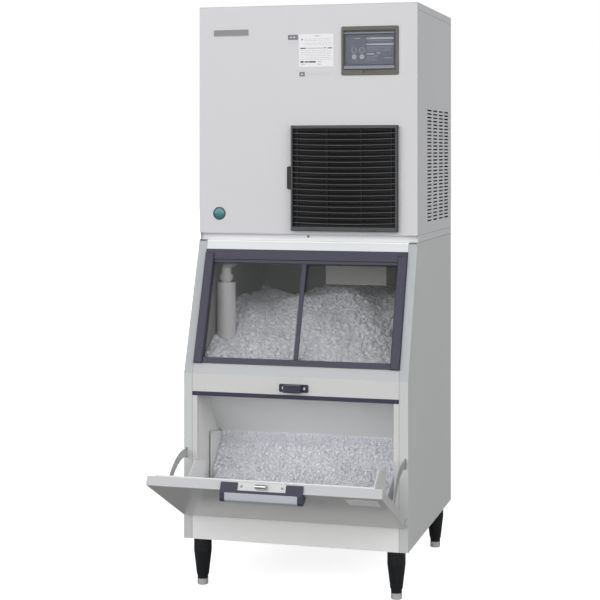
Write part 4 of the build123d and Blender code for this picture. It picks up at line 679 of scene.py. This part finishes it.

# %% [markdown]
# The clear flap in front of the keypad has thickened edges. Dark lines are painted along its top and
# foot and down its sides, as painted shade at those edges, with a paler lip above and below. They are
# thin bars on its face and move with it.
# %% Edges of the clear flap
COVER_LOW, COVER_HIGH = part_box("control_cover")
cover_x0, cover_x1 = COVER_LOW.x / MM, COVER_HIGH.x / MM
cover_z0, cover_z1 = COVER_LOW.z / MM, COVER_HIGH.z / MM
COVER_FACE = (COVER_LOW.y - HEAD_FACE) / MM
# Painted shade for the dark lines at the flap's thickened edges.
flap_edge_shade = moulded("flap_edge", (0.022, 0.023, 0.030), 0.3)
flap_lip = moulded("flap_lip", (0.20, 0.215, 0.27), 0.3)
UPPER_LINE, LOWER_LINE = cover_z1 - 11.0, cover_z0 + 15.0
edges = [(cover_x0 + 1, cover_x1 - 1, UPPER_LINE - 1.0, UPPER_LINE + 1.0),
         (cover_x0 + 1, cover_x1 - 1, LOWER_LINE - 1.2, LOWER_LINE + 1.2),
         (cover_x0 + 1, cover_x0 + 2.6, cover_z0 + 1, cover_z1 - 6),
         (cover_x1 - 3.4, cover_x1 - 1, cover_z0 + 1, cover_z1 - 6),
         (cover_x0 + 3, cover_x1 - 4, cover_z0 + 1, cover_z0 + 2.6)]
hand_over(bars(edges, COVER_FACE), "flap_edge_shade_lines", "cover", flap_edge_shade)
lip = [(cover_x0 + 3, cover_x1 - 4, cover_z0 + 3.5, LOWER_LINE - 2.2),
       (cover_x0 + 3, cover_x1 - 4, UPPER_LINE + 2.0, cover_z1 - 6)]
hand_over(bars(lip, COVER_FACE), "flap_lips", "cover", flap_lip)
print("flap face at y =", round(COVER_FACE, 2), "z from", round(cover_z0, 1), "to", round(cover_z1, 1))

# %% [markdown]
# Behind the clear flap the keypad carries pale bars and rows of small marks, printed on the film.
# The two upper keys have a thin ring, and the two lower keys are pale discs with a short bar. What
# is printed on a key rides on that key, so that it moves when the key is pressed.
# %% Keypad print
KEYPAD_FACE = (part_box("keypad_plate")[0].y - HEAD_FACE) / MM
keypad_pale = moulded("keypad_pale_print", (0.42, 0.44, 0.52), 0.4)
keypad_faint = moulded("keypad_faint_print", (0.27, 0.28, 0.34), 0.4)

pale_bars = [(191.5, 197.5, 1679.6, 1685), (200, 275.5, 1679.6, 1685), (191.5, 197.5, 1661.5, 1666.5),
             (200, 275.5, 1661.5, 1666.5), (191.5, 215, 1632.4, 1636.2), (154, 172, 1681, 1683)]
faint_bars = [(143, 150, 1673.6, 1675.4), (175, 181, 1673.6, 1675.4), (141, 150, 1661.4, 1663),
              (176, 185, 1661.4, 1663), (222, 234, 1634, 1639), (219, 223, 1628, 1632)]
faint_bars += [(139.5, 187, 1613.4, 1614.2), (139.5, 140.3, 1613.4, 1621), (186.2, 187, 1613.4, 1621)]
for z in (1674.5, 1656.5, 1652, 1647.5, 1643):
    faint_bars += dashes(rng, 192, 272, z, 1.5, 4, 16, 2.5)
for z in (1627, 1622.5, 1618, 1613.5):
    faint_bars += dashes(rng, 192, 222, z, 1.4, 4, 10, 2)
faint_bars += dashes(rng, 247, 272, 1622, 4, 4, 8, 3)
hand_over(bars(pale_bars, KEYPAD_FACE), "keypad_bars", "root", keypad_pale)
hand_over(bars(faint_bars, KEYPAD_FACE), "keypad_rows", "root", keypad_faint)


def key_ring(node):
    """A thin printed ring near the edge of a round key."""
    low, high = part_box(node)
    middle, radius = (low + high) / 2, (high.x - low.x) / 2
    clear_selection()
    bpy.ops.mesh.primitive_circle_add(vertices=40, radius=radius - 0.5 * MM, fill_type="NGON",
                                      location=(middle.x, low.y - 0.08 * MM, middle.z),
                                      rotation=(math.radians(90), 0, 0))
    ring = bpy.context.object
    settle(ring)
    bpy.ops.object.mode_set(mode="EDIT")
    bpy.ops.mesh.select_all(action="SELECT")
    bpy.ops.mesh.inset(thickness=1.4 * MM)
    bpy.ops.mesh.delete(type="FACE")
    bpy.ops.mesh.select_all(action="SELECT")
    bpy.ops.mesh.extrude_region_move(TRANSFORM_OT_translate={"value": (0, 0.06 * MM, 0)})
    bpy.ops.mesh.select_all(action="SELECT")
    bpy.ops.mesh.normals_make_consistent(inside=False)
    bpy.ops.object.mode_set(mode="OBJECT")
    return ring


for side in ("left", "right"):
    upper, lower = f"key_upper_{side}", f"key_lower_{side}"
    hand_over(key_ring(upper), f"{upper}_ring", upper, keypad_pale)
    key_low, key_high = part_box(lower)
    centre_x, centre_z = (key_low.x + key_high.x) / 2 / MM, (key_low.z + key_high.z) / 2 / MM
    mark = bars([(centre_x - 3.4, centre_x + 3.4, centre_z - 0.7, centre_z + 0.7)],
                (key_low.y - HEAD_FACE) / MM)
    hand_over(mark, f"{lower}_mark", lower, keypad_faint)
print("keypad face at y =", round(KEYPAD_FACE, 2))

# %% [markdown]
# Screws hold the strike, the latch plate, the base strip and the rear sheet. A pan-head screw is
# modelled once in each of two sizes: a low cylinder with its rim bevelled into a dome, and a cross cut
# into it with a boolean modifier. Copies are turned to face outwards and moved to their places. What
# lies on the open door is placed on the closed one and then swung about the hinge's axis.
# %% Screws
def cross_head(radius, height):
    """A pan-head screw with its top towards +Z and its foot at the origin."""
    clear_selection()
    bpy.ops.mesh.primitive_cylinder_add(vertices=28, radius=radius * MM, depth=height * MM,
                                        location=(0, 0, height / 2 * MM))
    head = bpy.context.object
    settle(head)
    bpy.ops.object.mode_set(mode="EDIT")
    select_where(head, "EDGE", lambda e: all(v.co.z > 0.9 * height * MM for v in e.verts))
    bpy.ops.mesh.bevel(offset=height * 0.55 * MM, segments=3, affect="EDGES")
    bpy.ops.object.mode_set(mode="OBJECT")
    for turn in (0, 90):
        clear_selection()
        bpy.ops.mesh.primitive_cube_add(size=1, location=(0, 0, height * MM),
                                        rotation=(0, 0, math.radians(turn)),
                                        scale=(radius * 1.1 * MM, radius * 0.26 * MM, height * 0.9 * MM))
        cutter = bpy.context.object
        settle(cutter)
        choose(head)
        cut = head.modifiers.new("cross", "BOOLEAN")
        cut.object = cutter
        cut.solver = "EXACT"
        bpy.ops.object.modifier_apply(modifier=cut.name)
        bpy.data.objects.remove(cutter)
    choose(head)
    bpy.ops.object.shade_smooth_by_angle(angle=math.radians(35))
    return head


def screws(name, body, pattern, places, facing, finish):
    """Copies of a screw at several places, all facing one way, as one piece."""
    turn = Vector((0, 0, 1)).rotation_difference(Vector(facing)).to_matrix().to_4x4()
    copies = [placed_copy(pattern, Matrix.Translation(place) @ turn) for place in places]
    return hand_over(join(copies), name, body, finish)


hinge = next(joint for joint in frame["joints"] if joint["name"] == "door_hinge")
HINGE_LINE = Vector(hinge["pos_m"])
DOOR_TURN = Matrix.Rotation(math.radians(hinge["range_deg"][1]), 4, "X")
DOOR_SWING = Matrix.Translation(HINGE_LINE) @ DOOR_TURN @ Matrix.Translation(-HINGE_LINE)

BIN_FACE = -145.0
STRIKE_FRONT = BIN_FACE - 3.0
STRIKE_SCREW_X, STRIKE_SCREW_Z = 32.5, 623.0
LATCH_SCREW_X, LATCH_SCREW_Y, LATCH_SCREW_Z = 59.5, -165.5, 592.0
BASE_FLANGE, BASE_SCREW_Z = 22.0, 1071.0
REAR = (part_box("head_rear_panel")[1].y - HEAD_FACE) / MM
REAR_SCREW_X = 338.0
HEAD_SCREW_HEIGHTS = (1072, 1420, 1755)
BIN_SCREW_HEIGHTS = (165, 600, 1044)
screw_pale = brushed("pale_screw", (0.80, 0.80, 0.78), 0.3, ALONG_X, metallic=0.6)
screw_grey = brushed("grey_screw", (0.26, 0.26, 0.26), 0.35, ALONG_X, metallic=0.5)

large = cross_head(radius=4.2, height=1.8)
small = cross_head(radius=3.8, height=1.2)
strike_places = [at(x, STRIKE_FRONT, STRIKE_SCREW_Z) for x in (-STRIKE_SCREW_X, STRIKE_SCREW_X)]
screws("strike_screws", "root", large, strike_places, (0, -1, 0), screw_pale)
latch_places = [DOOR_SWING @ at(x, LATCH_SCREW_Y, LATCH_SCREW_Z) for x in (-LATCH_SCREW_X, LATCH_SCREW_X)]
screws("latch_plate_screws", "door", small, latch_places, DOOR_TURN @ Vector((0, 0, 1)), screw_grey)
screws("base_strip_screw", "root", large, [at(0, BASE_FLANGE, BASE_SCREW_Z)], (0, -1, 0), screw_grey)
rear_places = [at(x, REAR, z) for z in HEAD_SCREW_HEIGHTS for x in (-REAR_SCREW_X, REAR_SCREW_X)]
rear_places += [at(x, REAR, z) for z in BIN_SCREW_HEIGHTS for x in (-REAR_SCREW_X, 0, REAR_SCREW_X)]
screws("rear_sheet_screws", "root", large, rear_places, (0, 1, 0), screw_grey)
for pattern in (large, small):
    bpy.data.objects.remove(pattern)
print("screws:", len(strike_places) + len(latch_places) + 1 + len(rear_places))

# %% [markdown]
# The pull has fine ribs along its face. They are narrow rods, half sunk in the face of the grip and
# spaced evenly down it. One rod is modelled and then copied.
# %% Ribs of the grip
GRIP_RIBS = 6
GRIP_TOP, GRIP_FOOT = (-188.0, 594.6), (-203.4, 588.6)
GRIP_HALF = 104.0
RIB_RADIUS = 0.7


def grip_ribs():
    clear_selection()
    bpy.ops.mesh.primitive_cylinder_add(vertices=10, radius=RIB_RADIUS * MM, depth=2 * GRIP_HALF * MM,
                                        rotation=(0, math.radians(90), 0))
    rib = bpy.context.object
    settle(rib)
    copies = []
    for k in range(GRIP_RIBS):
        share = k / (GRIP_RIBS - 1)
        y = GRIP_TOP[0] + (GRIP_FOOT[0] - GRIP_TOP[0]) * share
        z = GRIP_TOP[1] + (GRIP_FOOT[1] - GRIP_TOP[1]) * share
        copies.append(placed_copy(rib, Matrix.Translation(DOOR_SWING @ at(0, y, z))))
    bpy.data.objects.remove(rib)
    return join(copies)


hand_over(grip_ribs(), "grip_ribs", "door", grip_blue)
print("ribs on the grip:", GRIP_RIBS)

# %% [markdown]
# A small plain sticker is on the door's outer face near its right end. It is a thin plate like the
# signs above, drawn on the closed door and then swung open with it.
# %% Plain sticker on the door
STICKER = (234.0, 326.0, 502.0, 562.0)
DOOR_FACE = -178.0
sticker = thin_plate(*STICKER, DOOR_FACE - 0.4, DOOR_FACE, 1.0)
sticker.data.transform(DOOR_SWING)
sticker_white = moulded("sticker_sheet", (0.96, 0.96, 0.94), 0.4, relief=0.02, drift=0.01)
hand_over(sticker, "plain_sticker", "door", sticker_white)
print("sticker:", STICKER)

# %% [markdown]
# Along the top of the door's inner face runs a white sealing lip, which closes against the strip
# above the opening. It is one long block with the edges of its raised side rounded, swung open with
# the door.
# %% Sealing lip of the door
LIP = (-322.0, 322.0, 583.0, 588.5)
LIP_HEIGHT = 4.4
DOOR_INSIDE = -150.0


def sealing_lip():
    high = at(LIP[1], DOOR_INSIDE + LIP_HEIGHT, LIP[3])
    strip = block(at(LIP[0], DOOR_INSIDE, LIP[2]), high)
    bpy.ops.object.mode_set(mode="EDIT")
    top = high.y - 0.1 * MM
    select_where(strip, "EDGE", lambda e: all(v.co.y > top for v in e.verts))
    bpy.ops.mesh.bevel(offset=1.2 * MM, segments=3, affect="EDGES")
    bpy.ops.object.mode_set(mode="OBJECT")
    strip.data.transform(DOOR_SWING)
    return strip


hand_over(sealing_lip(), "door_sealing_lip", "door", white_plastic)
print("sealing lip:", LIP)

# %% [markdown]
# Where two sheets meet, a thin dark strip is laid along the joint as painted shade for the shadow in
# the seam. These lines let the eye read the casing as folded panels. A strip runs from one point to
# another, laid on a face.
# %% Seam shade lines
# Painted shade: dark strips that stand for the shadow in the seams between sheets.
seam_shade_grey = moulded("seam_shade_line", (0.16, 0.16, 0.165), 0.6)
HALF_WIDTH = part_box("head_right_panel")[1].x / MM
CAP_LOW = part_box("head_top_cover")[0].z / MM
HEAD_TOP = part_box("head_top_cover")[1].z / MM
FRONT_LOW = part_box("head_front_panel")[0].z / MM
POST_LINE = 323.0
RETURN_LINE = 12.5
HEAD_SEAM = 1057.6
SLOPE_TOP, SLOPE_FOOT, SLOPE_RUN = 1053.0, 656.0, 145.0
SLOPE_DROP = SLOPE_TOP - SLOPE_FOOT
SLOPE_LENGTH = math.hypot(SLOPE_DROP, SLOPE_RUN)
SLOPE_OUT = (0, -SLOPE_DROP, SLOPE_RUN)
HEADER_FOOT, RAIL_FOOT, SLOPE_END = 26.0, 391.0, 422.6
TRIM_LOW, TRIM_HIGH, BIN_LOW = 588.5, 602.5, 150.5


def seam_shade_strip(start, end, normal, width=0.9, thick=0.12):
    """A flat strip from start to end on the face with this outward normal."""
    clear_selection()
    along = end - start
    bpy.ops.mesh.primitive_cube_add(size=1, scale=(along.length, width * MM, thick * MM))
    strip = bpy.context.object
    settle(strip)
    x_axis = along.normalized()
    z_axis = Vector(normal).normalized()
    turn = Matrix((x_axis, z_axis.cross(x_axis), z_axis)).transposed().to_4x4()
    middle = (start + end) / 2 + z_axis * (thick / 2 * MM)
    strip.data.transform(Matrix.Translation(middle) @ turn)
    return strip


def slope_at(x, down):
    """A place on the sloping front, so many mm down the slope."""
    return at(x, -SLOPE_RUN * down / SLOPE_LENGTH, SLOPE_TOP - SLOPE_DROP * down / SLOPE_LENGTH)


seam_shade_strips = [seam_shade_strip(at(-HALF_WIDTH, RETURN_LINE, HEAD_TOP), at(HALF_WIDTH, RETURN_LINE, HEAD_TOP), (0, 0, 1)),
         seam_shade_strip(at(-HALF_WIDTH, REAR, CAP_LOW), at(HALF_WIDTH, REAR, CAP_LOW), (0, 1, 0))]
for side in (-1, 1):
    outer, post, outwards = side * HALF_WIDTH, side * POST_LINE, (side, 0, 0)
    seam_shade_strips += [seam_shade_strip(at(outer, RETURN_LINE, FRONT_LOW), at(outer, RETURN_LINE, HEAD_TOP), outwards),
              seam_shade_strip(at(outer, RETURN_LINE, CAP_LOW), at(outer, REAR, CAP_LOW), outwards),
              seam_shade_strip(at(outer, RETURN_LINE, FRONT_LOW), at(outer, REAR, FRONT_LOW), outwards),
              seam_shade_strip(at(outer, 0, HEAD_SEAM), at(outer, REAR, HEAD_SEAM), outwards, 1.2),
              seam_shade_strip(slope_at(post, 0.5), slope_at(post, HEADER_FOOT), SLOPE_OUT),
              seam_shade_strip(slope_at(post, RAIL_FOOT), slope_at(post, SLOPE_END), SLOPE_OUT),
              seam_shade_strip(at(post, BIN_FACE, SLOPE_FOOT - 0.5), at(post, BIN_FACE, TRIM_HIGH), (0, -1, 0)),
              seam_shade_strip(at(post, BIN_FACE, TRIM_LOW), at(post, BIN_FACE, BIN_LOW), (0, -1, 0))]
hand_over(join(seam_shade_strips), "seam_shade_lines", "root", seam_shade_grey)
print("beads:", len(seam_shade_strips))

# %% [markdown]
# The stored ice is what catches the eye. A smooth heap with a bump map looks like snow, so the heap
# gets real chips. A few chip shapes are cut from a coarse ball by slicing planes off it, which
# leaves the flat faces and sharp edges of broken ice. They are then strewn over the heap in their
# thousands, turned and scaled at random by a seeded generator. Placing that many objects by operator
# would take minutes, so the copies are written straight into one mesh.
# %% Chip shapes
CHIP_SHAPES = 8
CHIP_CUTS = 4
CHIP_SEED = 5


def chip_shape(rng):
    """Corners and faces of one chip of about unit radius."""
    clear_selection()
    bpy.ops.mesh.primitive_ico_sphere_add(subdivisions=1, radius=1.15)
    chip = bpy.context.object
    bpy.ops.object.mode_set(mode="EDIT")
    for _ in range(CHIP_CUTS):
        bpy.ops.mesh.select_all(action="SELECT")
        normal = Vector([rng.gauss(0, 1) for _ in range(3)]).normalized()
        bpy.ops.mesh.bisect(plane_co=normal * rng.uniform(0.62, 0.92), plane_no=normal, use_fill=True,
                            clear_outer=True)
    bpy.ops.mesh.select_all(action="SELECT")
    bpy.ops.mesh.dissolve_limited(angle_limit=math.radians(4))
    bpy.ops.mesh.select_all(action="SELECT")
    bpy.ops.mesh.quads_convert_to_tris()
    bpy.ops.mesh.normals_make_consistent(inside=False)
    bpy.ops.object.mode_set(mode="OBJECT")
    stretch = Vector((1, rng.uniform(0.75, 1.0), rng.uniform(0.65, 0.95)))
    corners = [Vector([c * s for c, s in zip(vertex.co, stretch)]) for vertex in chip.data.vertices]
    faces = [tuple(polygon.vertices) for polygon in chip.data.polygons]
    bpy.data.objects.remove(chip)
    return corners, faces


rng = random.Random(CHIP_SEED)
chips = [chip_shape(rng) for _ in range(CHIP_SHAPES)]
print("triangles in each chip:", [len(faces) for corners, faces in chips])

# %% [markdown]
# The heap itself is the CAD solid: its copy is welded, divided and roughened a little, so that what
# shows between the chips isn't flat. The same mesh answers where the surface lies under each chip.
# %% The bed of ice
WELD = 0.02
BED_BUMPS = 70
BED_SINK = 1.5


def ice_bed():
    bed = frame["nodes"]["ice"].copy()
    bed.data = frame["nodes"]["ice"].data.copy()
    bed.parent = None
    for key in list(bed.keys()):
        del bed[key]
    bpy.context.scene.collection.objects.link(bed)
    choose(bed)
    bpy.ops.object.mode_set(mode="EDIT")
    bpy.ops.mesh.select_all(action="SELECT")
    bpy.ops.mesh.remove_doubles(threshold=WELD * MM)
    bpy.ops.mesh.subdivide(number_cuts=3)
    bpy.ops.object.mode_set(mode="OBJECT")
    for vertex in bed.data.vertices:
        rough = noise.noise(vertex.co * BED_BUMPS)
        vertex.co.z -= BED_SINK * MM * (rough + 1)
    return bed


bed = ice_bed()
surface = BVHTree.FromPolygons([v.co for v in bed.data.vertices], [p.vertices for p in bed.data.polygons])
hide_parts("ice")
bed.data.materials.clear()
hand_over(bed, "ice_bed", "root", window_ice)
print("faces in the bed:", len(bed.data.polygons))

# %% [markdown]
# Chips are dropped on a jittered grid: a ray straight down finds the surface, and the chip is kept
# if it is clear of the panes, the walls, the guards and the drain sleeve. Behind the window the ray
# starts under the head, and in the scoop opening it starts below the baffle. Under the baffle's foot
# the ice is so steep that the rays run straight back instead.
# %% Strewn chips
def strewn(name, spots, finish, rng):
    """One mesh of chips, each spot being a place and a radius in metres."""
    corners, faces = [], []
    for place, radius in spots:
        shape, chip_faces = chips[rng.randrange(CHIP_SHAPES)]
        turn = Matrix.Rotation(rng.uniform(0, math.tau), 3, Vector([rng.gauss(0, 1) for _ in range(3)]))
        first = len(corners)
        corners += [place + turn @ corner * radius for corner in shape]
        faces += [tuple(first + k for k in face) for face in chip_faces]
    mesh = bpy.data.meshes.new(name)
    mesh.from_pydata(corners, [], faces)
    heap = bpy.data.objects.new(name, mesh)
    bpy.context.scene.collection.objects.link(heap)
    return hand_over(heap, name, "root", finish)


WALL_X = 307.0
SLEEVE_X, SLEEVE_Y, SLEEVE_RADIUS = -274.0, 42.0, 30.0
HEAP_FRONT, HEAP_DEPTH, HEAP_FOOT = -100.0, 640.0, 600.0
UNDER_HEAD, UNDER_BAFFLE = 1000.0, 444.0
PANE_GAP = 15.0
SCOOP_FRONT, SCOOP_BACK, SCOOP_DEPTH, SCOOP_FOOT = -101.0, 66.0, 170.0, 270.0
GUARD_REAR, BETWEEN_GUARDS, BETWEEN_WALLS = -16.0, 276.0, 299.0
STEEP_ROWS = range(412, 444, 5)
STEEP_TOP, STEEP_FRONT, STEEP_BACK = 449.0, 30.0, 90.0
DOWN, BACK = Vector((0, 0, -1)), Vector((0, 1, 0))
STREW_SEED = 23


def behind_pane(place):
    """How far a place lies behind the plane of the sloping front, in mm."""
    drop = SLOPE_TOP - place.z / MM
    y = (place.y - HEAD_FACE) / MM
    return (y * SLOPE_DROP + drop * SLOPE_RUN) / SLOPE_LENGTH


def jittered(rng, pitch, small, large, front, depth, lowest, highest):
    """Places on an uneven grid: x, y, a chip's radius and its lift above the ice, all in mm."""
    for i in range(int(2 * WALL_X / pitch)):
        for j in range(int(depth / pitch)):
            radius = rng.uniform(small, large)
            x = -WALL_X + (i + rng.random()) * pitch
            y = front + (j + rng.random()) * pitch
            yield x, y, radius, rng.uniform(lowest, highest) * radius


def window_spots(rng, pitch, small, large):
    """Places for chips on the heap behind the window."""
    spots = []
    for x, y, radius, lift in jittered(rng, pitch, small, large, HEAP_FRONT, HEAP_DEPTH, -0.5, 0.25):
        hit = surface.ray_cast(at(x, y, UNDER_HEAD), DOWN)[0]
        if hit is None or hit.z < HEAP_FOOT * MM or abs(x) > WALL_X - radius:
            continue
        place = hit + Vector((0, 0, lift * MM))
        off_sleeve = math.hypot(x - SLEEVE_X, y - SLEEVE_Y) - SLEEVE_RADIUS
        if behind_pane(place) >= PANE_GAP + radius and off_sleeve >= radius:
            spots.append((place, radius * MM))
    return spots


rng = random.Random(STREW_SEED)
spots = window_spots(rng, pitch=9.5, small=7.0, large=12.0)
strewn("ice_chips_window", spots, window_ice, rng)
print("chips behind the window:", len(spots))


def scoop_spots(rng, pitch, small, large):
    """Places for chips on the slope of ice in the scoop opening."""
    spots = []
    for x, y, radius, lift in jittered(rng, pitch, small, large, SCOOP_FRONT, SCOOP_DEPTH, -0.4, 0.6):
        limit = BETWEEN_GUARDS if y < GUARD_REAR else BETWEEN_WALLS
        if abs(x) > limit - radius or y < SCOOP_FRONT + radius * 0.6 or y > SCOOP_BACK:
            continue
        hit = surface.ray_cast(at(x, y, UNDER_BAFFLE), DOWN)[0]
        if hit is not None and hit.z >= SCOOP_FOOT * MM:
            spots.append((hit + Vector((0, 0, lift * MM)), radius * MM))
    return spots


def foot_spots(rng, pitch, small, large):
    """Places for chips on the steep end of the ice under the baffle's foot."""
    spots = []
    for i in range(int(2 * WALL_X / pitch)):
        for z in STEEP_ROWS:
            radius = rng.uniform(small, large)
            x = -WALL_X + (i + rng.random()) * pitch
            if abs(x) > BETWEEN_WALLS - radius or z > STEEP_TOP - radius:
                continue
            hit = surface.ray_cast(at(x, STEEP_FRONT, z + rng.uniform(-2, 2)), BACK)[0]
            if hit is not None and hit.y < at(0, STEEP_BACK, 0).y:
                spots.append((hit, radius * MM))
    return spots


spots = scoop_spots(rng, pitch=7.0, small=4.0, large=7.5)
spots += foot_spots(rng, pitch=8.0, small=3.5, large=5.5)
strewn("ice_chips_scoop", spots, scoop_ice, rng)
print("chips in the scoop opening:", len(spots))

# %% [markdown]
# The floor is plain and pale. The camera sees it white, because its own light is added for camera
# rays alone, and it keeps the shadow under the machine. To the lamps it is a middle grey, so that it
# doesn't throw too much light up under the open door.
# %% Floor
FLOOR_BOUNCE = 0.36
FLOOR_GLOW = 0.74
FLOOR_SIZE = 60


def floor_finish():
    finish = Finish("floor_white", Roughness=0.8, Specular_IOR_Level=0.0)
    direct = finish.node("ShaderNodeLightPath", out="Is Camera Ray")
    through = finish.node("ShaderNodeLightPath", out="Is Transmission Ray")
    seen = finish.node("ShaderNodeMath", {"operation": "MAXIMUM"}, {0: direct, 1: through})
    base = finish.mix(seen, (FLOOR_BOUNCE, FLOOR_BOUNCE, FLOOR_BOUNCE, 1), (0.90, 0.90, 0.90, 1))
    finish.feed(finish.shader, {"Base Color": base, "Emission Color": (1, 1, 1, 1),
                                "Emission Strength": seen * FLOOR_GLOW})
    return finish.material


clear_selection()
bpy.ops.mesh.primitive_plane_add(size=FLOOR_SIZE)
floor = bpy.context.object
floor.name = "floor"
floor.data.materials.append(floor_finish())
floor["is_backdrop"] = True
print("floor laid")

# %% [markdown]
# The light is that of a photo studio with a dim ceiling: two very broad lamps stand level with the
# machine, the stronger one at the front left and the other at the right, and a weak even sky fills
# the shadows. Level light reaches the scoop opening and the strip under the open door. The sky is
# white only where the camera or a clear pane looks at it.
# %% Sky and lamps
SKY_LEVEL = 0.38
KEY_LEVEL = 2.45
FILL_LEVEL = 2.15

world = bpy.data.worlds.new("studio")
bpy.context.scene.world = world
world.use_nodes = True
sky_nodes, sky_links = world.node_tree.nodes, world.node_tree.links
rays = sky_nodes.new("ShaderNodeLightPath")
seen = sky_nodes.new("ShaderNodeMath")
seen.operation = "MAXIMUM"
sky_links.new(rays.outputs["Is Camera Ray"], seen.inputs[0])
sky_links.new(rays.outputs["Is Transmission Ray"], seen.inputs[1])
level = sky_nodes.new("ShaderNodeMix")
level.data_type = "FLOAT"
level.inputs[2].default_value = SKY_LEVEL
level.inputs[3].default_value = 1.0
sky_links.new(seen.outputs[0], level.inputs[0])
sky_links.new(level.outputs[0], sky_nodes["Background"].inputs["Strength"])
sky_nodes["Background"].inputs["Color"].default_value = (1, 1, 1, 1)


def sun(name, towards, strength, spread):
    """A broad lamp far away, given by the direction from the machine towards it."""
    lamp = bpy.data.objects.new(name, bpy.data.lights.new(name, "SUN"))
    bpy.context.scene.collection.objects.link(lamp)
    lamp.rotation_euler = Vector(towards).to_track_quat("Z", "Y").to_euler()
    lamp.data.energy = strength
    lamp.data.angle = math.radians(spread)
    return lamp


sun("key", (-0.42, -0.90, 0.12), KEY_LEVEL, 70)
sun("fill", (0.86, -0.50, 0.10), FILL_LEVEL, 80)
print("sky", SKY_LEVEL, "key", KEY_LEVEL, "fill", FILL_LEVEL)

# %% [markdown]
# The last cell compares the dressed machine with the CAD box, puts both boxes in a table and prints how
# much the machine has grown.
# %% Close
low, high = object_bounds()
{"cad": [list(cad_low), list(cad_high)], "visual": [list(low), list(high)]}
print("grown in mm:", [round((a - b) / MM, 2) for a, b in zip(high - low, cad_high - cad_low)])
